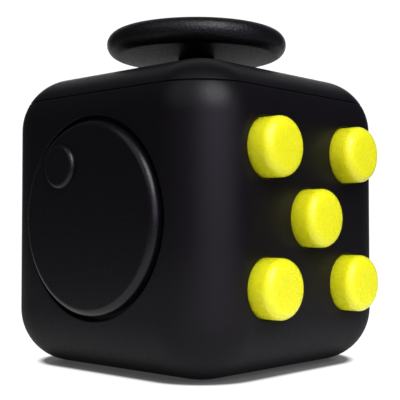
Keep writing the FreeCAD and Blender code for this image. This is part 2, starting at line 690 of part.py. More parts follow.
AXLE_DEPTH = "(wall + axle_r + 0.1)"
CHEEK_IN = "(wheel_pitch + wheel_t / 2 + cheek_gap)"
CHEEK_OUT = f"({CHEEK_IN} + plate_t)"
WHEEL_BACK = f"({AXLE_DEPTH} + wheel_r + spring_room)"
WHEELS = {"left": "-wheel_pitch", "middle": "0", "right": "wheel_pitch"}
BRACKET_U = f"({CHEEK_OUT} + boss_r + 0.2)"
BRACKET_SCREWS = [(BRACKET_U, "wheel_v"), (f"-{BRACKET_U}", "wheel_v")]


def make_wheels():
    for name, u in WHEELS.items():
        body = new_body(f"click_wheel_{name}")
        pad(body, draw_circle(new_sketch(body, "YZ_Plane"), "wheel_r"), "wheel_t", Midplane=True)
        reach = number("wheel_r")
        dress(body, "Chamfer", "Size", "0.25", lambda e: abs(e.BoundBox.YMax - reach) < 1e-3)
        pocket(body, draw_circle(new_sketch(body, "YZ_Plane"), "axle_r + run"), "wheel_t + 2", Midplane=True)
        valley = [("-tooth_h * 0.85", "wheel_r + 0.1"), ("0", "wheel_r - tooth_h"), ("tooth_h * 0.85", "wheel_r + 0.1")]
        notch = pocket(body, draw(new_sketch(body, "YZ_Plane"), valley), "wheel_t + 2", Midplane=True)
        around = body.newObject("PartDesign::PolarPattern", "PolarPattern")
        around.Originals = [notch]
        around.Axis = (next(f for f in body.Origin.OriginFeatures if f.Role == "X_Axis"), [""])
        bind(around, "Occurrences", "teeth")
        body.Tip = around
        place(body, "wheels", u, "wheel_v", f"-{AXLE_DEPTH}")
    axle = new_body("wheel_axle")
    pad(axle, draw_circle(new_sketch(axle, "YZ_Plane"), "axle_r"), f"2 * {CHEEK_OUT}", Midplane=True)
    place(axle, "wheels", "0", "wheel_v", f"-{AXLE_DEPTH}")
    spacers = []
    for side in (-1, 1):
        spacer = new_body(f"wheel_spacer_{len(spacers) + 1}", node=False)
        for radius, make in (("spacer_r", pad), ("axle_r + run", pocket)):
            length = "wheel_pitch - wheel_t - 2 * run" if make is pad else "wheel_pitch"
            make(spacer, draw_circle(new_sketch(spacer, "YZ_Plane"), radius), length, Midplane=True)
        spacers.append(place(spacer, "wheels", f"{side} * wheel_pitch / 2", "wheel_v", f"-{AXLE_DEPTH}"))
    group("wheel_spacers", spacers)
    make_bracket()
    make_click_spring()
    make_screws("wheel_bracket_screws", "wheels", BRACKET_SCREWS)


def make_bracket():
    """A channel behind the wheels. The axle lies in open slots in its cheeks, shut in by the wall."""
    body = place(new_body("wheel_bracket"), "wheels")
    high, tall = "-(wall + 0.1)", "(wheel_r + 0.6)"
    low = f"-({WHEEL_BACK} + plate_t * 0.75)"
    low_v, high_v = f"wheel_v - {tall}", f"wheel_v + {tall}"
    outline = [
        (f"-{CHEEK_OUT}", low), (CHEEK_OUT, low), (CHEEK_OUT, high), (CHEEK_IN, high),
        (CHEEK_IN, f"-{WHEEL_BACK}"), (f"-{CHEEK_IN}", f"-{WHEEL_BACK}"), (f"-{CHEEK_IN}", high),
        (f"-{CHEEK_OUT}", high),
    ]
    channel = draw(new_sketch(body, "XZ_Plane", ("0", "0", f"-({high_v})")), outline)
    pad(body, channel, f"2 * {tall}")
    ears = new_sketch(body, base=("0", "0", "-(wall + boss_h + plate_t)"))
    for side in (-1, 1):
        ear_u = f"{side} * ({BRACKET_U} + screw_edge + {CHEEK_IN}) / 2"
        draw(ears, box(f"({BRACKET_U} + screw_edge - {CHEEK_IN}) / 2", "ear_half", ear_u, "wheel_v"))
    pad(body, ears, "plate_t")
    slot = [
        ("wheel_v - axle_r - 0.02", "0"), ("wheel_v - axle_r - 0.02", f"-{AXLE_DEPTH}", "axle_r + 0.02"),
        ("wheel_v", f"-({AXLE_DEPTH} + axle_r + 0.02)", "axle_r + 0.02"),
        ("wheel_v + axle_r + 0.02", f"-{AXLE_DEPTH}"), ("wheel_v + axle_r + 0.02", "0"),
    ]
    pocket(body, draw(new_sketch(body, "YZ_Plane"), slot), f"2 * {CHEEK_OUT} + 2", Midplane=True)
    for u, v in BRACKET_SCREWS:
        hole = draw_circle(new_sketch(body, base=("0", "0", "-(wall + boss_h)")), "screw_r + 0.1", u, v)
        pocket(body, hole, "plate_t + 1")
    ledge = draw(new_sketch(body, base=("0", "0", f"-{WHEEL_BACK}")), box(CHEEK_IN, "0.5", v=f"{low_v} + 0.5"))
    pad(body, ledge, "spring_room / 2")


def make_click_spring():
    """A steel comb behind the wheels. One bent finger rests in a valley of each wheel."""
    body = place(new_body("wheel_click_spring"), "wheels")
    flat = f"(spring_room / 2 - {WHEEL_BACK})"
    root, tip = "wheel_v - wheel_r - 0.6", "wheel_v + 0.9"
    strip = draw(new_sketch(body, base=("0", "0", flat)), box(f"{CHEEK_IN} - 0.2", "0.5", v=f"{root} + 0.5"))
    pad(body, strip, "comb_t")
    rise = "(tooth_h * 0.8 + spring_room / 2)"
    bent = [
        (root, flat), ("wheel_v - 0.4", flat), ("wheel_v", f"{flat} + {rise} - comb_t"), ("wheel_v + 0.4", flat),
        (tip, flat), (tip, f"{flat} + comb_t"), ("wheel_v + 0.33", f"{flat} + comb_t"),
        ("wheel_v", f"{flat} + {rise}"), ("wheel_v - 0.33", f"{flat} + comb_t"), (root, f"{flat} + comb_t"),
    ]
    for u in WHEELS.values():
        pad(body, draw(new_sketch(body, "YZ_Plane", ("0", "0", u)), bent), "finger_w", Midplane=True)


# ---- ball ----

CUP_END = "(ball_depth + ball_r + cup_base)"
SLEEVE_IN = "(ball_r + cup_over + slide_gap)"
SLEEVE_OUT = f"({SLEEVE_IN} + sleeve_wall)"
SLEEVE_FLOOR = f"({CUP_END} + ball_spring_h)"
SLEEVE_U = f"({SLEEVE_OUT} + ear_half + 1.0)"
SLEEVE_SCREWS = [(SLEEVE_U, "ball_v"), (f"-{SLEEVE_U}", "ball_v")]


def behind_ball(radius, reach):
    """Height on the inner side of a ball round the ball's centre, at a distance from the axis."""
    return f"-(ball_depth + sqrt(({radius}) ^ 2 - ({reach}) ^ 2))"


def make_ball():
    """A ball that rolls on a seat ring in a sprung cup, and is pushed in against a snap dome."""
    ball = turned("roller_ball", half_ball("ball_r", "-ball_depth"))
    place(ball, "wheels", v="ball_v")
    seat = "ball_r + run"
    ring_out = "(ball_r - ring_inset)"
    ring_in = f"({ring_out} - ring_w)"
    floor = f"-({CUP_END} - cup_base * 0.75)"
    ring = [
        (ring_in, f"{floor} + run"), (ring_out, f"{floor} + run"),
        (ring_out, behind_ball(seat, ring_out), seat, "right"), (ring_in, behind_ball(seat, ring_in)),
    ]
    place(turned("ball_seat_ring", ring), "wheels", v="ball_v")
    hollow, groove_in, groove_out = "ball_r + 0.2", f"{ring_in} - run", f"{ring_out} + run"
    rim = "-(ball_depth + cup_rim)"
    peg_end = f"-({SLEEVE_FLOOR} - ball_dome_h - run)"
    cup = [
        ("0", f"-(ball_depth + {hollow})", hollow), (groove_in, behind_ball(hollow, groove_in)),
        (groove_in, floor), (groove_out, floor), (groove_out, behind_ball(hollow, groove_out), hollow),
        (f"sqrt(({hollow}) ^ 2 - cup_rim ^ 2)", rim), ("ball_r + cup_over", rim), ("ball_r + cup_over", f"-{CUP_END}"),
        ("0.9", f"-{CUP_END}"), ("0.9", peg_end), ("0", peg_end),
    ]
    place(turned("ball_cup", cup), "wheels", v="ball_v")
    make_coil("ball_spring", "ball_dome_r + wire_r + 0.5", "ball_spring_h", "0.95", f"-{SLEEVE_FLOOR}", "wheels", "ball_v")
    dome = dome_profile("ball_dome_r", "ball_dome_h", "snap_dome_t", f"-{SLEEVE_FLOOR}")
    place(turned("ball_snap_dome", dome), "wheels", v="ball_v")
    make_sleeve()
    make_screws("ball_sleeve_screws", "wheels", SLEEVE_SCREWS)


def make_sleeve():
    """The barrel that guides the cup, with an ear on each side for its screws."""
    front, back = "-(wall + 0.3)", f"-({SLEEVE_FLOOR} + sleeve_wall)"
    barrel = [
        ("0", back), (SLEEVE_OUT, back), (SLEEVE_OUT, front), (SLEEVE_IN, front),
        (SLEEVE_IN, f"-{SLEEVE_FLOOR}"), ("0", f"-{SLEEVE_FLOOR}"),
    ]
    body = place(turned("ball_sleeve", barrel), "wheels", v="ball_v")
    ears = new_sketch(body, base=("0", "0", "-(wall + boss_h + plate_t)"))
    for side in (-1, 1):
        draw(ears, box(f"({SLEEVE_U} + ear_half - {SLEEVE_IN} - 0.3) / 2", "ear_half",
                       f"{side} * ({SLEEVE_U} + ear_half + {SLEEVE_IN} + 0.3) / 2"))
    pad(body, ears, "plate_t")
    for side in (-1, 1):
        hole = draw_circle(new_sketch(body, base=("0", "0", "-(wall + boss_h)")), "screw_r + 0.1", f"{side} * {SLEEVE_U}")
        pocket(body, hole, "plate_t + 1")
    inside = draw_circle(new_sketch(body, base=("0", "0", front)), SLEEVE_IN)
    pocket(body, inside, f"{SLEEVE_FLOOR} - (wall + 0.3)")


def make_coil(label, radius, height, pitch, low, face, v="0"):
    """A coil spring along z, its lowest wire standing on the height low."""
    body = new_body(label)
    wire = draw_circle(new_sketch(body, "XZ_Plane"), "wire_r", radius, f"{low} + wire_r")
    coil = body.newObject("PartDesign::AdditiveHelix", "Coil")
    coil.Profile = wire
    coil.ReferenceAxis = (wire, ["V_Axis"])
    coil.Mode = "pitch-height-angle"
    bind(coil, "Pitch", pitch)
    bind(coil, "Height", f"{height} - 2 * wire_r - run")
    return place(body, face, v=v)


# ---- joystick ----

SKIRT_R = "(sqrt(stick_hole_r ^ 2 + (gimbal_depth - wall) ^ 2) - skirt_gap)"
CAGE_FLOOR = "(gimbal_depth + shoulder + centring_h)"
CAGE_SCREWS = [(f"{a} * cage_screw", f"{b} * cage_screw") for a in (-1, 1) for b in (-1, 1)]


def make_joystick():
    """A disc on a stem that tilts about two crossing pins in a gimbal ring, brought back by a coil spring."""
    make_disc()
    make_stem()
    ring = tube("gimbal_ring", "gimbal_in", "gimbal_out", "-gimbal_half", "gimbal_half")
    pocket(ring, draw_circle(new_sketch(ring, "YZ_Plane"), "gimbal_pin_r + 0.01"), "2 * gimbal_out + 2", Midplane=True)
    pocket(ring, draw_circle(new_sketch(ring, "XZ_Plane"), "gimbal_pin_r + run"), "2 * gimbal_out + 2", Midplane=True)
    place(ring, "top", out="-gimbal_depth")
    pins = []
    for side in (-1, 1):
        pin = new_body(f"gimbal_pin_{len(pins) + 1}", node=False)
        start = f"{side} * (gimbal_in + cage_r - 0.3) / 2"
        cross = draw_circle(new_sketch(pin, "YZ_Plane", ("0", "0", start)), "gimbal_pin_r")
        pad(pin, cross, "cage_r - 0.3 - gimbal_in", Midplane=True)
        pins.append(place(pin, "top", out="-gimbal_depth"))
    group("gimbal_pins", pins)
    cross_pin = new_body("stem_pivot_pin")
    cross = draw_circle(new_sketch(cross_pin, "XZ_Plane"), "gimbal_pin_r")
    pad(cross_pin, cross, "2 * (gimbal_out - 0.2)", Midplane=True)
    place(cross_pin, "top", out="-gimbal_depth")
    make_cage()
    make_coil("centring_spring", "peg_r + wire_r + 0.1", "centring_h", "0.8", f"-{CAGE_FLOOR}", "top")
    make_screws("joystick_cage_screws", "top", CAGE_SCREWS)


def make_disc():
    """A thumb disc with a full round rim and a shallow hollow on top."""
    top, bottom = "(disc_mid + disc_half)", "(disc_mid - disc_half)"
    bowl = "((disc_dish_r ^ 2 + disc_dish ^ 2) / (2 * disc_dish))"
    roof = f"{bottom} + disc_half * 1.2"
    profile = [
        ("spigot_r + fit", bottom), ("disc_r - disc_half", bottom, "disc_half"), ("disc_r", "disc_mid", "disc_half"),
        ("disc_r - disc_half", top), ("disc_dish_r", top, bowl, "right"), ("0", f"{top} - disc_dish"),
        ("0", roof), ("spigot_r + fit", roof),
    ]
    place(turned("joystick_disc", profile), "top")


def make_stem():
    """The stem in one piece with the round skirt that closes the opening and the peg for the spring."""
    neck = "gimbal_depth + disc_mid - disc_half"
    tip = f"{neck} + disc_half * 1.1"
    inner = f"({SKIRT_R} - skirt_t)"
    sine, cosine = "sin(skirt_angle * 1 deg)", "cos(skirt_angle * 1 deg)"
    end = "-(shoulder + peg_h)"
    profile = [
        ("0", end), ("peg_r", end), ("peg_r", "-shoulder"), ("stem_r", "-shoulder"),
        ("stem_r", f"sqrt({inner} ^ 2 - stem_r ^ 2)", inner, "right"), (f"{inner} * {sine}", f"{inner} * {cosine}"),
        (f"{SKIRT_R} * {sine}", f"{SKIRT_R} * {cosine}", SKIRT_R),
        ("stem_r", f"sqrt({SKIRT_R} ^ 2 - stem_r ^ 2)"), ("stem_r", neck), ("spigot_r", neck), ("spigot_r", tip),
        ("0", tip),
    ]
    body = turned("joystick_stem", profile)
    pocket(body, draw_circle(new_sketch(body, "XZ_Plane"), "gimbal_pin_r + 0.01"), "4 * stem_r", Midplane=True)
    place(body, "top", out="-gimbal_depth")


def make_cage():
    """The cup under the cover that carries the gimbal's pins and the spring."""
    top, inner = "-(wall + 0.1)", "(cage_r - cage_wall)"
    bottom = f"-({CAGE_FLOOR} + cage_wall)"
    spigot_top = f"-({CAGE_FLOOR} - 0.8)"
    cup = [
        ("0", bottom), ("cage_r", bottom), ("cage_r", top), (inner, top), (inner, f"-{CAGE_FLOOR}"),
        ("peg_r", f"-{CAGE_FLOOR}"), ("peg_r", spigot_top), ("0", spigot_top),
    ]
    body = place(turned("joystick_cage", cup), "top")
    flange = new_sketch(body, base=("0", "0", "-(wall + boss_h + plate_t)"))
    draw(flange, rounded("cage_ear", "cage_ear", "2.0"))
    draw_circle(flange, "cage_r - cage_wall / 2")
    pad(body, flange, "plate_t")
    for u, v in CAGE_SCREWS:
        hole = draw_circle(new_sketch(body, base=("0", "0", "-(wall + boss_h)")), "screw_r + 0.1", u, v)
        pocket(body, hole, "plate_t + 1")
    bearing = draw_circle(new_sketch(body, "YZ_Plane"), "gimbal_pin_r + run", "0", "-gimbal_depth")
    pocket(body, bearing, "2 * cage_r + 2", Midplane=True)


SNAP_V = "(side / 2 - cover_h - lip_h + snap_h)"


def check(thing):
    """Stops the build at a feature that failed or a piece that isn't sound."""
    bad = [o.Name for o in doc.Objects if "Invalid" in o.State or "Error" in o.State]
    if bad:
        raise RuntimeError(f"failed objects: {bad}")
    if thing.Shape.isNull() or not thing.Shape.isValid() or not thing.Shape.Solids:
        raise RuntimeError(f"{thing.Label} has no sound solid")


def build():
    make_shell()
    make_cover()
    make_buttons()
    make_dial()
    make_rocker()
    make_wheels()
    make_ball()
    make_joystick()
    doc.recompute()
    os.makedirs("parts", exist_ok=True)
    for thing in NODES:
        check(thing)
    for thing in NODES:
        thing.Shape.exportStep(os.path.join("parts", f"{thing.Label}.step"))
        print(f"{thing.Label}: {len(thing.Shape.Solids)} solid, {thing.Shape.Volume:.2f} mm3")


build()
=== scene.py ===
# Fidget cube: the outside of every piece that shows, its finishes, the studio and the camera.
# Sizes are in millimetres, and are turned into metres where a mesh is made.
# Each face has its own frame: u to the right and v up as that face is looked at, w outward.

import math

import bmesh
import bpy
import numpy as np
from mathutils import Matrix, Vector
from mathutils.geometry import delaunay_2d_cdt


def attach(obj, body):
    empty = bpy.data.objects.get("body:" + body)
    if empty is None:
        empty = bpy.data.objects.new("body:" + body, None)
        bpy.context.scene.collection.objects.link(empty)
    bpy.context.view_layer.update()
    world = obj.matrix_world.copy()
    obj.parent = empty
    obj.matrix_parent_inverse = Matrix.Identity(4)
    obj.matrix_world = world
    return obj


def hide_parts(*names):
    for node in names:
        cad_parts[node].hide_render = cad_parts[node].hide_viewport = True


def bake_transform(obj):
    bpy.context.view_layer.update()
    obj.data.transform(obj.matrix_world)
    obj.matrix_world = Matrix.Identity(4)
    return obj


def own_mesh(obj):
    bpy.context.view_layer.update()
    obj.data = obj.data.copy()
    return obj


mm = 0.001
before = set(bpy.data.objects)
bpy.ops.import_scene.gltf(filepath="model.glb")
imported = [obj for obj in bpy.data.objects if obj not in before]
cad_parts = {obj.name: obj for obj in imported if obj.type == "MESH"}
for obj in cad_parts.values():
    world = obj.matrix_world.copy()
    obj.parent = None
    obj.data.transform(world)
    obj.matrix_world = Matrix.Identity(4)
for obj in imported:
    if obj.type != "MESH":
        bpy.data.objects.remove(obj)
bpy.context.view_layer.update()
print("frame loaded")


# The housing: its walls, its rounded edges, the seam under its cover, the rims of its holes, the
# thumb dish under it, and how fine its mesh is.
cube = {
    "side": 33.0,
    "wall": 1.8,
    "cornerRadius": 6.7,
    "edgeRadius": 6.2,
    "seamHeight": 30.0,
    "seamChamfer": 0.12,
    "innerHalf": 14.7,
    "lipGap": 0.05,
    "slack": 0.04,
    "meshStep": 0.55,
    "sheetStep": 0.6,
    "edgeStep": 0.5,
    "uprightRows": 70,
    "buttonRim": 0.16,
    "slotRim": 0.14,
    "bezelRim": 0.1,
    "dishRadius": 9.2,
    "dishDepth": 2.2,
    "dishLip": 0.9,
}


def newSurface():
    # The patches of one mesh, gathered before it is made.
    return {"points": [], "normals": [], "polygons": [], "count": 0}


def addPatch(surface, points, normals, polygons):
    # Turns every polygon whose winding disagrees with the normals given for its corners.
    points, normals = (np.asarray(rows, float).reshape(-1, 3) for rows in (points, normals))
    corners, wanted = points[polygons], normals[polygons].mean(1)
    facing = np.cross(corners[:, 2] - corners[:, 0], corners[:, -1] - corners[:, 1])
    wrong = (facing * wanted).sum(1) < 0
    polygons = np.array(polygons)
    polygons[wrong] = polygons[wrong, ::-1]
    lengths = np.linalg.norm(normals, axis=1, keepdims=True)
    surface["points"].append(points)
    surface["normals"].append(normals / np.maximum(lengths, 1e-12))
    surface["polygons"].append(polygons + surface["count"])
    surface["count"] += len(points)


def addGrid(surface, points, normals, wrap=False):
    # Quads between the rows and columns of a grid. A row that shrinks to one point becomes a fan.
    rows, columns = points.shape[:2]
    index = np.arange(rows * columns).reshape(rows, columns)
    right = np.roll(index, -1, 1) if wrap else index[:, 1:]
    left = index if wrap else index[:, :-1]
    quads = np.stack([left[:-1], right[:-1], right[1:], left[1:]], -1)
    pinched = [np.ptp(points[r], axis=0).max() < 1e-6 for r in (0, -1)]
    body = quads[int(pinched[0]) : len(quads) - int(pinched[1])].reshape(-1, 4)
    flatPoints, flatNormals = points.reshape(-1, 3), normals.reshape(-1, 3)
    if len(body):
        addPatch(surface, flatPoints, flatNormals, body)
    for end, row in ((0, quads[0]), (1, quads[-1])):
        if pinched[end]:
            fan = row[:, [0, 2, 3]] if end == 0 else row[:, [0, 1, 2]]
            addPatch(surface, flatPoints, flatNormals, fan)


def makePiece(surface, name, body, material, replaced):
    # One mesh from all the patches of a surface, with the normals that the patches carry.
    points, normals = (np.vstack(surface[k]) for k in ("points", "normals"))
    sizes = np.concatenate([np.full(len(p), p.shape[1]) for p in surface["polygons"]])
    corners = np.concatenate([p.ravel() for p in surface["polygons"]])
    mesh = bpy.data.meshes.new(name)
    mesh.vertices.add(len(points))
    mesh.vertices.foreach_set("co", (points * mm).astype(np.float32).ravel())
    mesh.loops.add(len(corners))
    mesh.loops.foreach_set("vertex_index", corners.astype(np.int32))
    mesh.polygons.add(len(sizes))
    starts = np.concatenate([[0], np.cumsum(sizes)[:-1]])
    mesh.polygons.foreach_set("loop_start", starts.astype(np.int32))
    mesh.polygons.foreach_set("use_smooth", np.ones(len(sizes), bool))
    mesh.update(calc_edges=True)
    mesh.normals_split_custom_set_from_vertices(normals.astype(np.float32).tolist())
    mesh.materials.append(material)
    piece = bpy.data.objects.new(name, mesh)
    bpy.context.scene.collection.objects.link(piece)
    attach(piece, body)
    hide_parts(*replaced)
    return piece


# Each face's own directions: u, v and w as columns.
faces = {
    "dial": np.array([[1, 0, 0], [0, 0, 1], [0, -1, 0]], float).T,
    "buttons": np.array([[0, 1, 0], [0, 0, 1], [1, 0, 0]], float).T,
    "wheels": np.array([[-1, 0, 0], [0, 0, 1], [0, 1, 0]], float).T,
    "rocker": np.array([[0, -1, 0], [0, 0, 1], [-1, 0, 0]], float).T,
    "top": np.eye(3),
}
half = cube["side"] / 2
flatHalf = half - cube["cornerRadius"]


def toCube(face, points, shift=(0, 0, 0)):
    # Points of a face's frame, w from the face's plane, as points of the cube.
    moved = np.asarray(points, float) + np.array(shift) + [0, 0, half]
    return moved @ faces[face].T + [0, 0, half]


def turn(face, normals):
    # Directions in a face's frame as directions in the cube's.
    return np.asarray(normals, float) @ faces[face].T


def blockSurface(u, v):
    # The rounded block over one face. Past flatHalf, u is arc length round the upright edge, at
    # the angle (|u| - flatHalf) / cornerRadius. Past half - edgeRadius, v is arc length round the
    # top or bottom edge.
    big, small = cube["cornerRadius"], cube["edgeRadius"]
    level = half - small
    theta = np.sign(u) * np.maximum(np.abs(u) - flatHalf, 0) / big
    phi = np.maximum(np.abs(v) - level, 0) / small * np.sign(v)
    reach = (big - small) + small * np.cos(phi)
    points = np.stack(
        [
            np.clip(u, -flatHalf, flatHalf) + reach * np.sin(theta),
            np.clip(v, -level, level) + small * np.sin(phi),
            flatHalf + reach * np.cos(theta) - half,
        ],
        -1,
    )
    normals = np.stack([np.cos(phi) * np.sin(theta), np.sin(phi), np.cos(phi) * np.cos(theta)], -1)
    return points, normals


def unroll(flat):
    # Turns plane distances past the flat part into the arc lengths that blockSurface takes.
    radii = np.array([cube["cornerRadius"], cube["edgeRadius"]])
    limits = half - radii
    past = np.maximum(np.abs(flat) - limits, 0)
    bent = radii * np.arcsin(np.clip(past / radii, 0, 1))
    return np.sign(flat) * (np.minimum(np.abs(flat), limits) + bent)


def circle(radius, middle=(0, 0), count=128):
    # Points and outward normals round a circle.
    angle = np.arange(count) * 2 * np.pi / count
    out = np.stack([np.cos(angle), np.sin(angle)], -1)
    return out * radius + middle, out


def roundRect(halfU, halfV, corner, middle=(0, 0), step=0.5, arcCount=10):
    # Points and outward normals round a rectangle with round corners, counter-clockwise.
    points, normals = [], []
    middles = np.array([(1, 1), (-1, 1), (-1, -1), (1, -1)]) * [halfU - corner, halfV - corner]
    for k in range(4):
        angle = np.linspace(k, k + 1, arcCount) * np.pi / 2
        out = np.stack([np.cos(angle), np.sin(angle)], -1)
        bend = out * corner + middles[k]
        start = out[-1] * corner + middles[(k + 1) % 4]
        side = max(2, int(np.linalg.norm(start - bend[-1]) / step))
        between = bend[-1] + (start - bend[-1]) * np.linspace(0, 1, side + 1)[1:-1, None]
        points += [bend, between]
        normals += [out, np.repeat(out[-1:], len(between), 0)]
    return np.vstack(points) + middle, np.vstack(normals)


def insideLoop(points, loop):
    # Even-odd crossings of a level ray from each point with the loop's sides.
    start, end = loop, np.roll(loop, -1, 0)
    y = points[:, 1:2]
    crosses = (start[:, 1] > y) != (end[:, 1] > y)
    rise = np.where(end[:, 1] == start[:, 1], 1e-12, end[:, 1] - start[:, 1])
    x = start[:, 0] + (y - start[:, 1]) * (end[:, 0] - start[:, 0]) / rise
    return (crosses & (points[:, 0:1] < x)).sum(1) % 2 == 1


def fillSheet(outline, holes, step):
    # Triangles of a flat region with holes: a lattice of points inside, joined by Delaunay's rule.
    low, high = outline.min(0), outline.max(0)
    counts = [max(3, int(size / step)) for size in high - low]
    axes = [np.linspace(*ends) for ends in zip(low, high, counts)]
    lattice = np.stack(np.meshgrid(*axes), -1).reshape(-1, 2)
    loops = [outline, *holes]

    def onSheet(places):
        # Inside the outline and outside every hole.
        found = insideLoop(places, outline)
        for hole in holes:
            found &= ~insideLoop(places, hole)
        return found

    keep = onSheet(lattice)
    border = np.vstack(loops)
    clear = step * 0.45  # a lattice point nearer than this to the border would make thin triangles
    for chunk in np.array_split(np.arange(len(lattice)), 8):
        gaps = np.linalg.norm(lattice[chunk, None] - border[None], axis=2).min(1)
        keep[chunk] &= gaps > clear
    points = np.vstack([border, lattice[keep]])
    edges, first = [], 0
    for loop in loops:
        edges += [(first + i, first + (i + 1) % len(loop)) for i in range(len(loop))]
        first += len(loop)
    found = delaunay_2d_cdt([Vector(p) for p in points.tolist()], edges, [], 0, 1e-6)
    flat = np.array([tuple(p) for p in found[0]])
    triangles = np.array([t for t in found[2] if len(t) == 3])
    return flat, triangles[onSheet(flat[triangles].mean(1))]


def line(start, end):
    # A straight run with its normals on the right of its direction.
    ends = np.array([start, end], float)
    along = (ends[1] - ends[0]) / np.linalg.norm(ends[1] - ends[0])
    return ends, np.repeat([[along[1], -along[0]]], 2, 0)


def arc(middle, radius, start, end, side=1, count=14):
    # A round run from one angle to another, in degrees. side is 1 where the solid is inside it.
    angle = np.radians(np.linspace(start, end, count))
    out = np.stack([np.cos(angle), np.sin(angle)], -1)
    return np.array(middle) + out * radius, out * side


def trace(corners, count=10):
    # Runs along an open outline of (x, y) or (x, y, round). A round corner is a tangent arc: its
    # ends lie round / tan(bend / 2) from the corner, and its middle round / sin(bend / 2).
    places = [np.array(corner[:2], float) for corner in corners]

    def toward(start, end):
        return (places[end] - places[start]) / np.linalg.norm(places[end] - places[start])

    runs, points, normals = [], [], []
    for i, corner in enumerate(corners):
        if 0 < i < len(corners) - 1 and len(corner) > 2:
            before, after, radius = toward(i, i - 1), toward(i, i + 1), corner[2]
            bend = math.acos(np.clip(before @ after, -1, 1))
            halfway = (before + after) / np.linalg.norm(before + after)
            out = halfway * radius / math.sin(bend / 2)
            first, last = (way * radius / math.tan(bend / 2) - out for way in (before, after))
            t = np.linspace(0, 1, count)[:, None]
            swept = math.pi - bend
            swing = (np.sin((1 - t) * swept) * first + np.sin(t * swept) * last) / math.sin(swept)
            left = before[0] * after[1] - before[1] * after[0]
            points += list(places[i] + out + swing)
            normals += list(swing / radius * (1 if left < 0 else -1))
            continue
        if i > 0:
            along = toward(i - 1, i)
            points.append(places[i])
            normals.append(np.array([along[1], -along[0]]))
            runs.append((np.array(points), np.array(normals)))
            points, normals = [], []
        if i < len(corners) - 1:
            along = toward(i, i + 1)
            points.append(places[i])
            normals.append(np.array([along[1], -along[0]]))
    return runs


def lathe(surface, runs, place, count=128):
    # Each run turned once round the axis; its x is the radius and its y the height.
    angle = np.arange(count) * 2 * np.pi / count
    ring = np.stack([np.cos(angle), np.sin(angle)], -1)
    for points, normals in runs:
        grids = []
        for values in (points, normals):
            flat = values[:, None, :1] * ring[None]
            grids.append(np.concatenate([flat, np.repeat(values[:, None, 1:], count, 1)], -1))
        addGrid(surface, *place(*grids), wrap=True)


def onFace(face, shift=(0, 0, 0), tilt=None):
    # How a lathe or a sweep is put on a face: moved by shift, and first turned by tilt if any.
    def place(points, normals):
        if tilt is not None:
            points, normals = points @ tilt.T, normals @ tilt.T
        return toCube(face, points, shift), turn(face, normals)

    return place


def sweep(surface, path, runs, place):
    # Each run carried round a flat loop: its x is the way out from the loop, its y the height.
    loop, out = path
    for run in runs:
        grids = []
        for values, base in zip(run, (loop[None], 0)):
            up = np.repeat(values[:, None, 1:], len(loop), 1)
            grids.append(np.concatenate([base + out[None] * values[:, None, :1], up], -1))
        addGrid(surface, *place(*grids), wrap=True)


def cutRim(surface, face, path, rim, rows=()):
    # The rounded edge of a hole and its wall. rows are (depth, outline) of the wall below the rim.
    loop, out = path
    angles = np.linspace(0, np.pi / 2, 6)
    points, normals = [], []
    for angle in angles:
        arcs = unroll(loop + out * rim * (1 - math.sin(angle)))
        on, up = blockSurface(arcs[:, 0], arcs[:, 1])
        points.append(on - [0, 0, rim * (1 - math.cos(angle))])
        inward = np.concatenate([-out, np.zeros((len(out), 1))], 1)
        normals.append(up * math.cos(angle) + inward * math.sin(angle))
    addGrid(surface, toCube(face, np.array(points)), turn(face, np.array(normals)), wrap=True)
    wall, wallNormals = [points[-1]], [normals[-1]]
    for depth, outline in rows:
        wall.append(np.concatenate([outline, np.full((len(outline), 1), -depth)], 1))
        wallNormals.append(normals[-1])
    if len(wall) > 1:
        addGrid(surface, toCube(face, np.array(wall)), turn(face, np.array(wallNormals)), wrap=True)


def keepCad(surface, node, wanted):
    # The unseen inside of a CAD piece, flat-shaded: the triangles that wanted picks by their
    # middles and normals.
    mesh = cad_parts[node].data
    mesh.calc_loop_triangles()
    points = np.array([v.co for v in mesh.vertices]) / mm
    triangles = np.array([t.vertices for t in mesh.loop_triangles])
    corners = points[triangles]
    normals = np.cross(corners[:, 1] - corners[:, 0], corners[:, 2] - corners[:, 0])
    normals /= np.maximum(np.linalg.norm(normals, axis=1, keepdims=True), 1e-12)
    chosen = wanted(corners.mean(1), normals)
    corners, normals = corners[chosen], normals[chosen]
    loose = np.arange(len(corners) * 3).reshape(-1, 3)
    addPatch(surface, corners, np.repeat(normals[:, None], 3, 1), loose)


def blockDepth(points):
    # How deep a point lies under the rounded block's surface, and how far out it lies from the
    # square inside the upright edges. Each is the length of what lies past a box.
    def pastBox(past):
        return np.linalg.norm(np.maximum(past, 0), axis=1) + np.minimum(past.max(1), 0)

    small = cube["edgeRadius"]
    across = pastBox(np.abs(points[:, :2]) - flatHalf)
    out = across - (cube["cornerRadius"] - small)
    up = np.abs(points[:, 2] - half) - (half - small)
    return small - pastBox(np.stack([out, up], -1)), across


def linear(hexColour):
    # sRGB hex to linear red, green, blue and alpha.
    values = [int(hexColour[i : i + 2], 16) / 255 for i in (1, 3, 5)]
    return [v / 12.92 if v <= 0.04045 else ((v + 0.055) / 1.055) ** 2.4 for v in values] + [1.0]


def addNode(tree, kind, inputs=None, **settings):
    # One node with its settings, its values and its links.
    node = tree.nodes.new(kind)
    for key, value in settings.items():
        setattr(node, key, value)
    for key, value in (inputs or {}).items():
        if isinstance(value, bpy.types.NodeSocket):
            tree.links.new(value, node.inputs[key])
        else:
            node.inputs[key].default_value = value
    return node


def noise(tree, coords, size, detail=2.0, roughness=0.5):
    # Noise whose features are size millimetres across.
    inputs = {"Vector": coords, "Scale": 1 / (size * mm), "Detail": detail, "Roughness": roughness}
    return addNode(tree, "ShaderNodeTexNoise", inputs).outputs["Fac"]


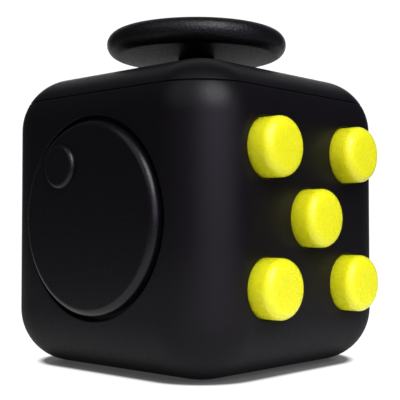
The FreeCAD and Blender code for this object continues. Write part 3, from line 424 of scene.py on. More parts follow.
def spread(tree, value, low, high, fromLow=0.3, fromHigh=0.7):
    # Carries the range fromLow to fromHigh onto low to high, and stops at both ends.
    ranges = {"From Min": fromLow, "From Max": fromHigh, "To Min": low, "To Max": high}
    return addNode(tree, "ShaderNodeMapRange", {"Value": value, **ranges}).outputs["Result"]


def bump(tree, height, depth, under=None):
    # Turns a height of depth millimetres into a change of normal, on top of any other.
    inputs = {"Height": height, "Distance": depth * mm}
    if under is not None:
        inputs["Normal"] = under
    return addNode(tree, "ShaderNodeBump", inputs).outputs["Normal"]


def newMaterial(name):
    # A material with its shader, and the coordinates that its patterns are placed in.
    material = bpy.data.materials.new(name)
    material.use_nodes = True
    tree = material.node_tree
    tree.nodes.clear()
    coords = addNode(tree, "ShaderNodeTexCoord").outputs["Object"]
    shader = addNode(tree, "ShaderNodeBsdfPrincipled")
    output = addNode(tree, "ShaderNodeOutputMaterial")
    tree.links.new(shader.outputs["BSDF"], output.inputs["Surface"])
    return material, tree, coords, shader


# What all the mouldings share: a slow wave where the wall shrank, patches a little duller than
# others, and how far light travels inside a pale plastic, as red, green and blue shares of a depth.
moulding = {
    "wave": 0.006,
    "waveSize": 9.0,
    "patches": 1.7,
    "patchDullness": 0.05,
    "bodyDepth": 3.0,
    "bodyShares": (1.0, 0.95, 0.1),
}


def mouldedPlastic(name, colour, roughness, specular, grain, grainDepth, body=0.0, dullBelow=None):
    # Injection-moulded plastic: the mould's spark marks break up the highlights.
    material, tree, coords, shader = newMaterial(name)
    fine = noise(tree, coords, grain, detail=3.0, roughness=0.6)
    slow = bump(tree, noise(tree, coords, moulding["waveSize"], detail=1.0), moulding["wave"])
    patches, swing = noise(tree, coords, grain * moulding["patches"]), moulding["patchDullness"]
    dull = spread(tree, patches, roughness - swing, roughness + swing)
    if dullBelow:
        height, step, more = dullBelow
        level = addNode(tree, "ShaderNodeSeparateXYZ", {"Vector": coords}).outputs["Z"]
        low = spread(tree, level, more, 0.0, (height - step) * mm, (height + step) * mm)
        dull = addNode(tree, "ShaderNodeMath", {0: low, 1: dull}, operation="ADD").outputs[0]
    tree.links.new(dull, shader.inputs["Roughness"])
    tree.links.new(bump(tree, fine, grainDepth, under=slow), shader.inputs["Normal"])
    shader.inputs["Base Color"].default_value = linear(colour)
    shader.inputs["Specular IOR Level"].default_value = specular
    if body:
        shader.inputs["Subsurface Weight"].default_value = body
        shader.inputs["Subsurface Radius"].default_value = moulding["bodyShares"]
        shader.inputs["Subsurface Scale"].default_value = moulding["bodyDepth"] * mm
    return material


def metal(name, colour, roughness, grain, grainDepth):
    # Bare metal: a soft mirror, dulled by the fine scratches that the named process leaves.
    material, tree, coords, shader = newMaterial(name)
    scratches = noise(tree, coords, grain, detail=4.0)
    dull = spread(tree, scratches, roughness - 0.05, roughness + 0.06)
    tree.links.new(dull, shader.inputs["Roughness"])
    tree.links.new(bump(tree, scratches, grainDepth), shader.inputs["Normal"])
    shader.inputs["Base Color"].default_value = linear(colour)
    shader.inputs["Metallic"].default_value = 1.0
    return material


# Grain is the spacing of the marks in millimetres. Real spark marks are 0.03 to 0.1 mm apart and
# would not show, so they are drawn coarser. dullBelow is a height, half the step there, and how
# much duller it is below.
plastics = {
    # Near-black with a wide soft sheen, duller near the foot where it is stood on and handled.
    "shell": {
        "name": "black ABS, spark-eroded",
        "colour": "#0a080c",
        "roughness": 0.38,
        "specular": 0.17,
        "grain": 0.16,
        "grainDepth": 0.003,
        "dullBelow": (9.5, 4.5, 0.3),
    },
    # The same plastic from a finer mould: a tighter highlight along its rim.
    "dial": {
        "name": "black ABS, fine spark-eroded",
        "colour": "#0a080c",
        "roughness": 0.29,
        "specular": 0.27,
        "grain": 0.13,
        "grainDepth": 0.002,
    },
    # A coarse mould for grip: it breaks the rim's highlight into specks. Its underside is duller.
    "disc": {
        "name": "black ABS, coarse spark-eroded",
        "colour": "#0a080c",
        "roughness": 0.33,
        "specular": 0.26,
        "grain": 0.3,
        "grainDepth": 0.08,
        "dullBelow": (36.1, 0.3, 0.2),
    },
    # Darker than the other blacks and almost without sheen, as painted shade, so the stem reads as
    # the dark gap under the disc.
    "stem": {
        "name": "black acetal, darkened as painted shade",
        "colour": "#070608",
        "roughness": 0.6,
        "specular": 0.02,
        "grain": 0.2,
        "grainDepth": 0.003,
    },
    # Strong lemon colour that glows round its edges, under a grain that can be felt.
    "yellow": {
        "name": "yellow ABS, spark-eroded",
        "colour": "#e2e21c",
        "roughness": 0.28,
        "specular": 0.5,
        "grain": 0.3,
        "grainDepth": 0.075,
        "body": 0.9,
    },
    # A plain dark moulding that isn't meant to be seen.
    "inner": {
        "name": "dark ABS, moulded",
        "colour": "#1c1b1e",
        "roughness": 0.5,
        "specular": 0.4,
        "grain": 0.3,
        "grainDepth": 0.003,
    },
    # Waxy and cream-coloured.
    "nylon": {
        "name": "natural nylon, moulded",
        "colour": "#dcd8c8",
        "roughness": 0.45,
        "specular": 0.4,
        "grain": 0.3,
        "grainDepth": 0.003,
        "body": 0.5,
    },
    # Cloudy, soft and dull.
    "silicone": {
        "name": "silicone rubber, moulded",
        "colour": "#c4c4bd",
        "roughness": 0.6,
        "specular": 0.4,
        "grain": 0.3,
        "grainDepth": 0.003,
        "body": 0.5,
    },
}
metals = {
    # A small bright mirror with a faint haze.
    "ball": {
        "name": "steel ball, ground and tumbled",
        "colour": "#b9bcc0",
        "roughness": 0.16,
        "grain": 0.4,
        "grainDepth": 0.0008,
    },
    # The soft, slightly patchy mirror of wire and strip.
    "steel": {
        "name": "spring steel, drawn",
        "colour": "#b9bcc0",
        "roughness": 0.3,
        "grain": 0.2,
        "grainDepth": 0.001,
    },
    # Warm, with fine turning marks.
    "brass": {
        "name": "brass, turned",
        "colour": "#b99a52",
        "roughness": 0.28,
        "grain": 0.2,
        "grainDepth": 0.001,
    },
}
finishes = {piece: mouldedPlastic(**values) for piece, values in plastics.items()}
finishes.update({piece: metal(**values) for piece, values in metals.items()})
print("finishes made")


# A cap, how far the outer four stand from the middle of their face, and the flange and plunger
# behind it.
button = {
    "radius": 3.1,
    "height": 2.55,
    "round": 1.0,
    "across": 7.05,
    "up": 7.13,
    "holeGap": 0.12,
    "flangeRadius": 3.6,
    "flangeTop": -1.92,
    "flangeThick": 0.8,
    "plungerRadius": 1.1,
    "plungerEnd": -3.17,
    "endRound": 0.15,
    "flangeRound": 0.1,
}
buttonMiddles = {
    "upper_near": (-button["across"], button["up"]),
    "upper_far": (button["across"], button["up"]),
    "centre": (0, 0),
    "lower_near": (-button["across"], -button["up"]),
    "lower_far": (button["across"], -button["up"]),
}


def makeButtons():
    # A flat cap with a full round edge, over its flange and plunger.
    b = button
    runs = trace(
        [
            (0, b["plungerEnd"]),
            (b["plungerRadius"], b["plungerEnd"], b["endRound"]),
            (b["plungerRadius"], b["flangeTop"] - b["flangeThick"]),
            (b["flangeRadius"], b["flangeTop"] - b["flangeThick"], b["flangeRound"]),
            (b["flangeRadius"], b["flangeTop"], b["flangeRound"]),
            (b["radius"], b["flangeTop"]),
            (b["radius"], b["height"], b["round"]),
            (0, b["height"]),
        ],
        count=16,
    )
    for name, middle in buttonMiddles.items():
        surface = newSurface()
        lathe(surface, runs, onFace("buttons", (*middle, 0)))
        node = f"button_{name}"
        makePiece(surface, f"cap_{name}", node, finishes["yellow"], [node])


# The disc, the recess it turns in, its hub through the wall, and the nub on its face.
dial = {
    "radius": 10.35,
    "recessRadius": 10.85,
    "recessDepth": 0.8,
    "height": 0.75,
    "under": -0.75,
    "round": 0.8,
    "hubRadius": 2.5,
    "hubEnd": -2.35,
    "hubHole": 2.6,
    "nubAcross": -4.0,
    "nubUp": 5.6,
    "nubRadius": 2.4,
    "nubHeight": 0.55,
    "nubRound": 0.5,
    "edgeRing": 1.2,
    "hubRound": 0.15,
    "underRound": 0.1,
}


def makeDial():
    # A disc with a round edge and a hub, turned round its own axis, and a round nub on its face.
    d = dial
    surface = newSurface()
    rim = trace(
        [
            (0, d["hubEnd"]),
            (d["hubRadius"], d["hubEnd"], d["hubRound"]),
            (d["hubRadius"], d["under"]),
            (d["radius"], d["under"], d["underRound"]),
            (d["radius"], d["height"], d["round"]),
            (d["radius"] - d["edgeRing"], d["height"]),
        ],
        count=14,
    )
    lathe(surface, rim, onFace("dial"), count=192)
    inner = circle(d["radius"] - d["edgeRing"], count=192)[0]
    foot = circle(d["nubRadius"], (d["nubAcross"], d["nubUp"]), 96)[0]
    flat, triangles = fillSheet(inner, [foot], cube["sheetStep"])
    level = np.concatenate([flat, np.full((len(flat), 1), d["height"])], 1)
    out = np.repeat([[0, 0, 1.0]], len(level), 0)
    addPatch(surface, toCube("dial", level), turn("dial", out), triangles)
    nub = trace(
        [
            (d["nubRadius"], d["height"]),
            (d["nubRadius"], d["height"] + d["nubHeight"], d["nubRound"]),
            (0, d["height"] + d["nubHeight"]),
        ],
        count=14,
    )
    lathe(surface, nub, onFace("dial", (d["nubAcross"], d["nubUp"], 0)), count=96)
    makePiece(surface, "dial_disc", "dial", finishes["dial"], ["dial"])


# The thumb disc, its stem, and the round skirt below that closes the opening. Depths are from the
# top face, and heights on the stem from the middle of its tilt.
joystick = {
    "discRadius": 10.66,
    "rimRadius": 1.42,
    "discMiddle": 4.17,
    "bowlRadius": 8.4,
    "bowlDepth": 0.5,
    "stemRadius": 2.15,
    "socketRadius": 1.55,
    "socketDeep": 1.2,
    "tipRadius": 1.5,
    "tipDeep": 1.1,
    "holeRadius": 4.2,
    "holeRound": 0.45,
    "pivotDepth": 6.0,
    "skirtRadius": 5.64,
    "skirtThick": 1.0,
    "skirtAngle": 62.0,
    "shoulder": 2.2,
    "pegRadius": 1.2,
    "pegEnd": 4.0,
    "pegRound": 0.2,
    "shoulderRound": 0.1,
}


def makeJoystick():
    # The disc has a full round rim and a shallow hollow, part of a ball of radius (r^2 + d^2) / 2d.
    # The skirt is part of a hollow ball round the middle of the tilt, so it never leaves the hole.
    j = joystick
    low, high = j["discMiddle"] - j["rimRadius"], j["discMiddle"] + j["rimRadius"]
    bowl = (j["bowlRadius"] ** 2 + j["bowlDepth"] ** 2) / (2 * j["bowlDepth"])
    edge = math.degrees(math.asin(j["bowlRadius"] / bowl))
    roof, socket = low + j["rimRadius"] * j["socketDeep"], j["socketRadius"]
    middle = (j["discRadius"] - j["rimRadius"], j["discMiddle"])
    disc = newSurface()
    outside = [
        line((socket, low), (middle[0], low)),
        arc(middle, j["rimRadius"], -90, 90, count=40),
        line((middle[0], high), (j["bowlRadius"], high)),
        arc((0, high - j["bowlDepth"] + bowl), bowl, 270 + edge, 270, side=-1, count=24),
    ]
    hole = [line((0, roof), (socket, roof)), line((socket, roof), (socket, low))]
    lathe(disc, outside, onFace("top"), count=192)
    lathe(disc, [(p, n * -1) for p, n in hole], onFace("top"), count=48)
    makePiece(disc, "thumb_disc", "joystick", finishes["disc"], ["joystick_disc"])

    stem = newSurface()
    neck = j["pivotDepth"] + low
    tip = neck + j["rimRadius"] * j["tipDeep"]
    outer, inner = j["skirtRadius"], j["skirtRadius"] - j["skirtThick"]
    swing = 90 - j["skirtAngle"]
    startOuter = math.degrees(math.acos(j["stemRadius"] / outer))
    startInner = math.degrees(math.acos(j["stemRadius"] / inner))
    lipWay = np.array([math.cos(math.radians(swing)), math.sin(math.radians(swing))])
    runs = trace(
        [
            (0, -j["pegEnd"]),
            (j["pegRadius"], -j["pegEnd"], j["pegRound"]),
            (j["pegRadius"], -j["shoulder"]),
            (j["stemRadius"], -j["shoulder"], j["shoulderRound"]),
            (j["stemRadius"], math.sqrt(inner**2 - j["stemRadius"] ** 2)),
        ]
    )
    hollow = arc((0, 0), inner, startInner, swing, side=-1, count=20)
    lip = line(lipWay * inner, lipWay * outer)
    dome = arc((0, 0), outer, swing, startOuter, count=24)
    top = trace(
        [
            (j["stemRadius"], math.sqrt(outer**2 - j["stemRadius"] ** 2)),
            (j["stemRadius"], neck),
            (j["tipRadius"], neck),
            (j["tipRadius"], tip),
            (0, tip),
        ]
    )
    lathe(stem, runs + [hollow, lip, dome] + top, onFace("top", (0, 0, -j["pivotDepth"])), count=96)
    # Its finish is darkened as painted shade under the disc.
    makePiece(stem, "stem", "joystick", finishes["stem"], ["joystick_stem"])


# The flip switch about its pin, and the bezel round it.
rocker = {
    "width": 8.0,
    "endRadius": 7.0,
    "tilt": 10.0,
    "middle": 2.9,
    "facetReach": 5.9,
    "under": 1.4,
    "depth": 2.2,
    "lever": 4.6,
    "noseRadius": 0.5,
    "heelHalf": 1.5,
    "edge": 0.35,
    "bezelHalfU": 4.95,
    "bezelHalfV": 7.95,
    "bezelWall": 0.8,
    "bezelHeight": 0.5,
    "bezelCorner": 1.6,
    "bezelGap": 0.05,
    "bezelBelow": 0.9,
    "bezelFlat": 0.4,
    "roomCorner": 0.4,
    "bezelEdge": 0.3,
    "sheetStep": 0.7,
    "bezelStep": 0.6,
    "crestStep": 0.5,
    "boxFrom": 0.75,
}


def rockerOutline():
    # Side view about the pin: two flat facets in a shallow V, round ends, and a heel with a nose.
    r = rocker
    tip = r["middle"] + r["facetReach"] * math.tan(math.radians(r["tilt"]))
    reach = math.sqrt(r["endRadius"] ** 2 - tip**2)
    low = math.sqrt(r["endRadius"] ** 2 - r["under"] ** 2)
    edge = r["edge"]
    lowAngle = math.degrees(math.atan2(-r["under"], low))
    tipAngle = math.degrees(math.atan2(tip, reach))
    cut = math.degrees(edge / r["endRadius"])
    right, rightOut = arc((0, 0), r["endRadius"], lowAngle, tipAngle - cut, count=12)
    slope = np.array([reach, tip - r["middle"]])
    slope /= np.linalg.norm(slope)
    facetOut = np.array([-slope[1], slope[0]])
    crest = np.array([reach, tip]) - slope * edge
    valley = np.array([0, r["middle"]])
    # The crest's rounding: normals swing from the end's direction to the facet's.
    t = np.linspace(0, 1, 8)[1:-1, None]
    bend = (1 - t) ** 2 * right[-1] + 2 * t * (1 - t) * np.array([reach, tip]) + t**2 * crest
    bendOut = (1 - t) * rightOut[-1] + t * facetOut
    facet = crest + (valley - crest) * np.linspace(0, 1, 10)[:, None]
    parts = [(right, rightOut), (bend, bendOut), (facet, np.repeat([facetOut], 10, 0))]
    points, normals = (np.vstack([part[i] for part in parts]) for i in (0, 1))
    points = np.vstack([points, points[::-1] * [-1, 1]])
    normals = np.vstack([normals, normals[::-1] * [-1, 1]])
    heel = [(-low, -r["under"]), (-r["heelHalf"], -r["under"]), (-r["noseRadius"], -r["lever"])]
    down, downOut = [], []
    for start, end in zip(heel[:-1], heel[1:]):
        run, runOut = line(start, end)
        down += list(run)
        downOut += list(runOut)
    nose, noseOut = arc((0, -r["lever"]), r["noseRadius"], 180, 360, count=12)
    down, downOut = np.array(down), np.array(downOut)
    points = np.vstack([points, down, nose, down[::-1] * [-1, 1]])
    normals = np.vstack([normals, downOut, noseOut, downOut[::-1] * [-1, 1]])
    return points, normals / np.linalg.norm(normals, axis=1, keepdims=True)


def makeRocker():
    # The side view carried across the rocker, and pulled in round both of its sides.
    r = rocker
    outline, out = rockerOutline()
    angles = np.linspace(0, np.pi / 2, 6)
    across = r["width"] / 2 - r["edge"] + r["edge"] * np.sin(angles)
    pull = r["edge"] * (1 - np.cos(angles))
    across, side = (np.concatenate([-rows[::-1], rows]) for rows in (across, np.sin(angles)))
    pull, level = (np.concatenate([rows[::-1], rows]) for rows in (pull, np.cos(angles)))
    points, normals = [], []
    for x, inward, outward, flat in zip(across, pull, side, level):
        pulled = outline - out * inward
        points.append(np.column_stack([np.full(len(outline), x), pulled]))
        normals.append(np.column_stack([np.full(len(outline), outward), out * flat]))
    lean = -math.radians(r["tilt"])
    cos, sin = math.cos(lean), math.sin(lean)
    tilt = np.array([[1, 0, 0], [0, cos, -sin], [0, sin, cos]])
    place = onFace("rocker", (0, 0, -r["depth"]), tilt)
    surface = newSurface()
    addGrid(surface, *place(np.array(points), np.array(normals)), wrap=True)
    border = outline - out * r["edge"]
    keep = np.linalg.norm(border - np.roll(border, 1, 0), axis=1) > 1e-4
    flat, triangles = fillSheet(border[keep], [], r["sheetStep"])
    for side in (-1, 1):
        cap = np.column_stack([np.full(len(flat), side * r["width"] / 2), flat])
        addPatch(surface, *place(cap, np.repeat([[side, 0, 0.0]], len(cap), 0)), triangles)
    makePiece(surface, "flip_rocker", "rocker", finishes["yellow"], ["rocker"])


def makeBezel():
    # A collar with both of its edges rounded up to one crest, over the unseen box.
    r = rocker
    surface = newSurface()
    path = roundRect(r["bezelHalfU"], r["bezelHalfV"], r["bezelCorner"], step=r["bezelStep"])
    room = [r[key] - r["bezelWall"] for key in ("bezelHalfU", "bezelHalfV")]
    inner = roundRect(*room, r["roomCorner"], step=r["bezelStep"])
    top, edge, low, inset = r["bezelHeight"], r["bezelEdge"], -r["bezelBelow"], r["bezelFlat"]
    outer = trace([(0, low), (0, top, edge), (-inset, top)])
    sweep(surface, path, outer, onFace("rocker"))
    inside = trace([(0, low), (0, top, edge), (inset, top)])
    sweep(surface, inner, [(p, n * -1) for p, n in inside], onFace("rocker"))
    # The two crests meet along the sides. This closes the sliver left between them at a corner.
    apart = 1.0001
    crests = path[0] - path[1] * inset, inner[0] + inner[1] * inset
    flat, triangles = fillSheet(crests[0] * apart, [crests[1]], r["crestStep"])
    level = np.column_stack([flat, np.full(len(flat), top)])
    out = np.repeat([[0, 0, 1.0]], len(level), 0)
    addPatch(surface, toCube("rocker", level), turn("rocker", out), triangles)
    keepCad(surface, "rocker_housing", lambda middles, normals: middles[:, 0] > r["boxFrom"] - half)
    makePiece(surface, "bezel", "housing", finishes["shell"], ["rocker_housing"])


# Three thumb wheels on one axle, and the slots they show through.
wheel = {
    "radius": 3.9,
    "thick": 2.4,
    "pitch": 4.4,
    "up": 5.8,
    "axleDepth": 2.6,
    "bore": 0.75,
    "ribs": 24,
    "pointsPerRib": 16,
    "ribDepth": 0.4,
    "ribHalf": 0.34,
    "chamfer": 0.25,
    "slotRadius": 4.1,
    "slotHalf": 1.4,
    "slotCorner": 0.12,
}


def wheelSlot(u, w):
    # The slot is cut by a cylinder round the axle: half height sqrt(R^2 - (axle depth - w)^2).
    tall = math.sqrt(wheel["slotRadius"] ** 2 - (wheel["axleDepth"] - w) ** 2)
    middle = (u, wheel["up"])
    return roundRect(wheel["slotHalf"], tall, wheel["slotCorner"], middle, step=10, arcCount=5)


def makeWheels():
    # Radius at an angle is the wheel's less a V-shaped notch between ribs, its corners softened.
    w = wheel
    count = w["ribs"] * w["pointsPerRib"]
    angle = np.arange(count) * 2 * np.pi / count
    pitch = 2 * np.pi / w["ribs"]
    around = (angle + pitch / 2) % pitch - pitch / 2
    gap = np.abs(around) * w["radius"] / w["ribHalf"]
    notch = w["ribDepth"] * 0.5 * (1 + np.cos(np.pi * np.clip(gap, 0, 1)))
    steepest = w["ribDepth"] * 0.5 * np.pi / w["ribHalf"]
    slope = np.where(gap < 1, np.sin(np.pi * gap) * np.sign(around), 0) * steepest
    ring = np.stack([np.cos(angle), np.sin(angle)], -1)
    along = np.stack([-np.sin(angle), np.cos(angle)], -1)
    ribOut = ring - along * slope[:, None]
    ribOut /= np.linalg.norm(ribOut, axis=1, keepdims=True)
    # Rows across the wheel from side to side, pulled in round both of its edges.
    quarter = np.linspace(0, np.pi / 2, 6)
    turns, signs = np.concatenate([quarter[::-1], quarter]), np.repeat([-1, 1], 6)
    halfThick, soft = w["thick"] / 2, w["chamfer"]
    across = signs * (halfThick - soft + soft * np.sin(turns))
    pull = soft * (1 - np.cos(turns))
    for name, u in (("left", -w["pitch"]), ("middle", 0), ("right", w["pitch"])):
        surface = newSurface()
        place = onFace("wheels", (u, w["up"], -w["axleDepth"]))
        points, normals = [], []
        for x, inward, side, flat in zip(across, pull, signs * np.sin(turns), np.cos(turns)):
            radius = w["radius"] - notch - inward
            points.append(np.column_stack([np.full(count, x), ring * radius[:, None]]))
            normals.append(np.column_stack([np.full(count, side), ribOut * flat]))
        addGrid(surface, *place(np.array(points), np.array(normals)), wrap=True)
        ends = (-halfThick, halfThick)
        bore = [np.column_stack([np.full(count, x), ring * w["bore"]]) for x in ends]
        for row, hub, side in ((points[0], bore[0], -1), (points[-1], bore[1], 1)):
            out = np.tile([side, 0, 0.0], (2, count, 1))
            addGrid(surface, *place(np.array([row, hub]), out), wrap=True)
        inward = np.tile(np.column_stack([np.zeros(count), -ring]), (2, 1, 1))
        addGrid(surface, *place(np.array(bore), inward), wrap=True)
        node = f"click_wheel_{name}"
        makePiece(surface, f"thumb_wheel_{name}", f"wheel_{name}", finishes["yellow"], [node])


# Its depth is that of its middle below the face.
ball = {"radius": 4.0, "depth": 2.6, "up": -6.2, "holeRadius": 4.12}


def ballHole(w):
    # The hole is cut by a ball a little larger than the real one: sqrt(R^2 - (depth - w)^2).
    radius = math.sqrt(ball["holeRadius"] ** 2 - (ball["depth"] - w) ** 2)
    return circle(radius, (0, ball["up"]), 96)


def makeBall():
    # A half circle turned round its own axis.
    surface = newSurface()
    whole = arc((0, 0), ball["radius"], -90, 90, count=65)
    whole[0][[0, -1], 0] = 0  # both poles exactly on the axis
    lathe(surface, [whole], onFace("wheels", (0, ball["up"], -ball["depth"])))
    makePiece(surface, "rolling_ball", "ball", finishes["ball"], ["roller_ball"])


def faceHoles(face):
    # Each hole's outline at the surface, its rim, and the outlines of its wall further in.
    wall = cube["wall"]
    if face == "buttons":
        radius = button["radius"] + button["holeGap"]
        paths = [circle(radius, middle, 96) for middle in buttonMiddles.values()]
        return [(path, cube["buttonRim"], [(wall, path[0])]) for path in paths]
    if face == "dial":
        path = circle(dial["recessRadius"], count=192)
        return [(path, cube["slotRim"], [(dial["recessDepth"], path[0])])]
    if face == "rocker":
        gap = rocker["bezelGap"]
        sizes = [rocker[key] + gap for key in ("bezelHalfU", "bezelHalfV", "bezelCorner")]
        path = roundRect(*sizes)
        return [(path, cube["bezelRim"], [(wall, path[0])])]
    found = []
    for u in (-wheel["pitch"], 0, wheel["pitch"]):
        rows = [(w, wheelSlot(u, w)[0]) for w in np.linspace(0.2, wall, 6)]
        found.append((wheelSlot(u, 0.0), cube["slotRim"], rows))
    rows = [(w, ballHole(w)[0]) for w in np.linspace(0.2, wall, 6)]
    found.append((ballHole(0.0), cube["slotRim"], rows))
    return found


seamRise = half - cube["edgeRadius"]
seamAngle = math.asin((cube["seamHeight"] - half - seamRise) / cube["edgeRadius"])
# How far the seam's chamfer reaches along the round edge, and in from it.
seamArc = seamRise + cube["edgeRadius"] * seamAngle
chamferArc = cube["seamChamfer"] / math.cos(seamAngle)
quarterArc = flatHalf + cube["cornerRadius"] * np.pi / 4
bottomArc = -(half - cube["edgeRadius"]) - cube["edgeRadius"] * np.pi / 2


def perimeter(v):
    # A closed level line round the block, at the arc length v up its side.
    count = 2 * int(quarterArc / cube["edgeStep"])
    u = np.linspace(-quarterArc, quarterArc, count + 1)[:-1]
    points, normals = [], []
    for face in ("dial", "buttons", "wheels", "rocker"):
        on, out = blockSurface(u, np.full_like(u, v))
        points.append(toCube(face, on))
        normals.append(turn(face, out))
    return np.vstack(points), np.vstack(normals)


def seamLedge(surface, arcLength, height, inner, up):
    # The chamfer and the flat face at the seam, from the round edge in to the inner wall.
    outer, outerNormals = perimeter(arcLength)
    level = outerNormals * [1, 1, 0]
    level /= np.linalg.norm(level, axis=1, keepdims=True)
    edge = perimeter(seamArc)[0]
    edge = edge - level * cube["seamChamfer"]
    edge[:, 2] = height
    slope = level * 0.7 + [0, 0, 0.7 * up]
    addGrid(surface, np.array([outer, edge]), np.array([slope, slope]), wrap=True)
    corner = inner - flatHalf
    inside = perimeter(0.0)[0] - level * (cube["cornerRadius"] - corner)
    inside[:, 2] = height
    flat = np.repeat([[0, 0, up]], len(edge), 0)
    addGrid(surface, np.array([edge, inside]), np.array([flat, flat]), wrap=True)


def dishRuns():
    # The thumb dish: a ball of radius (r^2 + d^2) / 2d cut into the bottom, its lip rounded by a
    # tangent arc.
    wide, deep, lip = cube["dishRadius"], cube["dishDepth"], cube["dishLip"]
    big = (wide * wide + deep * deep) / (2 * deep)
    low = deep - big
    lipMiddle = np.array([math.sqrt((big + lip) ** 2 - (lip - low) ** 2), lip])
    angle = math.degrees(math.atan2(lipMiddle[1] - low, lipMiddle[0]))
    bowl = arc((0, low), big, 90, angle, side=1, count=40)
    rim = arc(lipMiddle, lip, angle - 180, -90, side=1, count=10)
    return lipMiddle[0], [(bowl[0], bowl[1] * -1), rim]


def makeShell():
    surface = newSurface()
    count, rows = 2 * int(quarterArc / cube["edgeStep"]), cube["uprightRows"]
    along = np.linspace(-quarterArc, quarterArc, count + 1)
    upright = np.linspace(bottomArc, seamArc - chamferArc, rows)
    outline = np.vstack(
        [
            np.stack([along[:-1], np.full(count, upright[0])], -1),
            np.stack([np.full(rows - 1, quarterArc), upright[:-1]], -1),
            np.stack([along[::-1][:-1], np.full(count, upright[-1])], -1),
            np.stack([np.full(rows - 1, -quarterArc), upright[::-1][:-1]], -1),
        ]
    )
    for face in ("dial", "buttons", "wheels", "rocker"):
        holes = faceHoles(face)
        loops = [unroll(path[0] + path[1] * rim) for path, rim, _ in holes]
        flat, triangles = fillSheet(outline, loops, cube["meshStep"])
        on, out = blockSurface(flat[:, 0], flat[:, 1])
        addPatch(surface, toCube(face, on), turn(face, out), triangles)
        for path, rim, depths in holes:
            cutRim(surface, face, path, rim, depths)
    hubEdge = (dial["hubHole"], -dial["recessDepth"])
    seat = [line((dial["hubHole"], -cube["wall"]), hubEdge)]
    seat += [line((dial["recessRadius"], -dial["recessDepth"]), hubEdge)]
    lathe(surface, [(p, n * -1) for p, n in seat], onFace("dial"))
    seamLedge(surface, seamArc - chamferArc, cube["seamHeight"], cube["innerHalf"], 1)
    reach, runs = dishRuns()
    lathe(surface, runs, lambda p, n: (p, n), count=160)
    foot = perimeter(bottomArc)[0][:, :2]
    flat, triangles = fillSheet(foot, [circle(reach, count=160)[0]], cube["sheetStep"])
    level = np.concatenate([flat, np.zeros((len(flat), 1))], 1)
    addPatch(surface, level, np.repeat([[0, 0, -1.0]], len(level), 0), triangles)

    def inside(middles, normals):
        # What lies deeper than the wall, and the thinner band inside the lip, but not the dish.
        depth, across = blockDepth(middles)
        height, radius = middles[:, 2], np.hypot(middles[:, 0], middles[:, 1])
        deep = depth > cube["wall"] - cube["slack"]
        band = (height > half) & (height < cube["seamHeight"] - 0.01)
        band &= across < cube["innerHalf"] - flatHalf + 0.02
        dish = (normals[:, 2] < -0.5) & (radius < cube["dishRadius"] + 0.3)
        dish &= height < cube["dishDepth"] + 0.1
        return (deep | band) & ~dish

    keepCad(surface, "body_shell", inside)
    makePiece(surface, "shell", "housing", finishes["shell"], ["body_shell"])


def makeCover():
    surface = newSurface()
    arcs = np.linspace(seamArc + chamferArc, -bottomArc, 24)
    rings = [perimeter(v) for v in arcs]
    addGrid(surface, np.array([r[0] for r in rings]), np.array([r[1] for r in rings]), wrap=True)
    inner = cube["innerHalf"] - cube["lipGap"]
    seamLedge(surface, seamArc + chamferArc, cube["seamHeight"], inner, -1)
    hole, soft = joystick["holeRadius"], joystick["holeRound"]
    top = rings[-1][0][:, :2]
    flat, triangles = fillSheet(top, [circle(hole + soft, count=96)[0]], cube["sheetStep"])
    level = np.concatenate([flat, np.full((len(flat), 1), cube["side"])], 1)
    addPatch(surface, level, np.repeat([[0, 0, 1.0]], len(level), 0), triangles)
    edge = trace([(hole + soft, 0), (hole, 0, soft - 0.001), (hole, -cube["wall"])])
    lathe(surface, [(p, n * -1) for p, n in edge], onFace("top"), count=96)

    def inside(middles, normals):
        depth, across = blockDepth(middles)
        lip = (middles[:, 2] < cube["seamHeight"] - 0.005) & (across < cube["innerHalf"] - flatHalf)
        return lip | (depth > cube["wall"] - cube["slack"])

    keepCad(surface, "top_cover", inside)
    makePiece(surface, "cover", "housing", finishes["shell"], ["top_cover"])


makeShell()
makeCover()
print("housing made")
makeButtons()
print("buttons made")
makeDial()
print("dial made")
makeJoystick()
print("joystick made")
makeRocker()
makeBezel()
print("rocker made")
makeWheels()
makeBall()
print("wheels and ball made")


def makeFlexing(node, name, finish):
    # The CAD shape as a mesh of its own, with its doubled corners merged.
    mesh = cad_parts[node].data.copy()
    work = bmesh.new()
    work.from_mesh(mesh)
    bmesh.ops.remove_doubles(work, verts=work.verts, dist=0.001 * mm)
    work.to_mesh(mesh)
    work.free()
    mesh.materials.clear()
    mesh.materials.append(finishes[finish])
    piece = bpy.data.objects.new(name, mesh)
    bpy.context.scene.collection.objects.link(piece)
    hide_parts(node)
    return piece


def makeDomes():
    # The domes and the ball's dome and coil, as their CAD shapes, go with the housing; the
    # joystick's coil keeps its CAD shape and place.
    for place in buttonMiddles:
        kind = "rubber" if place in ("upper_far", "lower_near") else "snap"
        finish = "silicone" if kind == "rubber" else "steel"
        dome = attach(makeFlexing(f"{kind}_dome_{place}", f"dome_{place}", finish), "housing")
        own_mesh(dome)
    for node, name, left in (
        ("ball_snap_dome", "ball_dome", "ballDomeLeft"),
        ("ball_spring", "ball_coil", "ballSpringLeft"),
    ):
        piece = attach(makeFlexing(node, name, "steel"), "housing")
        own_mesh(piece)
    coil = makeFlexing("centring_spring", "joystick_coil", "steel")
    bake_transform(coil)


makeDomes()
print("flexing pieces made")


unseen = {
    "silicone": ["rubber_dome"],
    "nylon": ["dial_thrust_washer", "wheel_spacers", "ball_seat_ring"],
    "inner": ["button_plate", "wheel_bracket", "ball_cup", "ball_sleeve", "joystick_cage"],
    "brass": ["gimbal_ring"],
}
for name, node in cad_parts.items():
    if node.hide_render:
        continue
    finish = "steel"
    for kind, starts in unseen.items():
        if name.startswith(tuple(starts)) and "screw" not in name:
            finish = kind
    node.data.materials.clear()
    node.data.materials.append(finishes[finish])


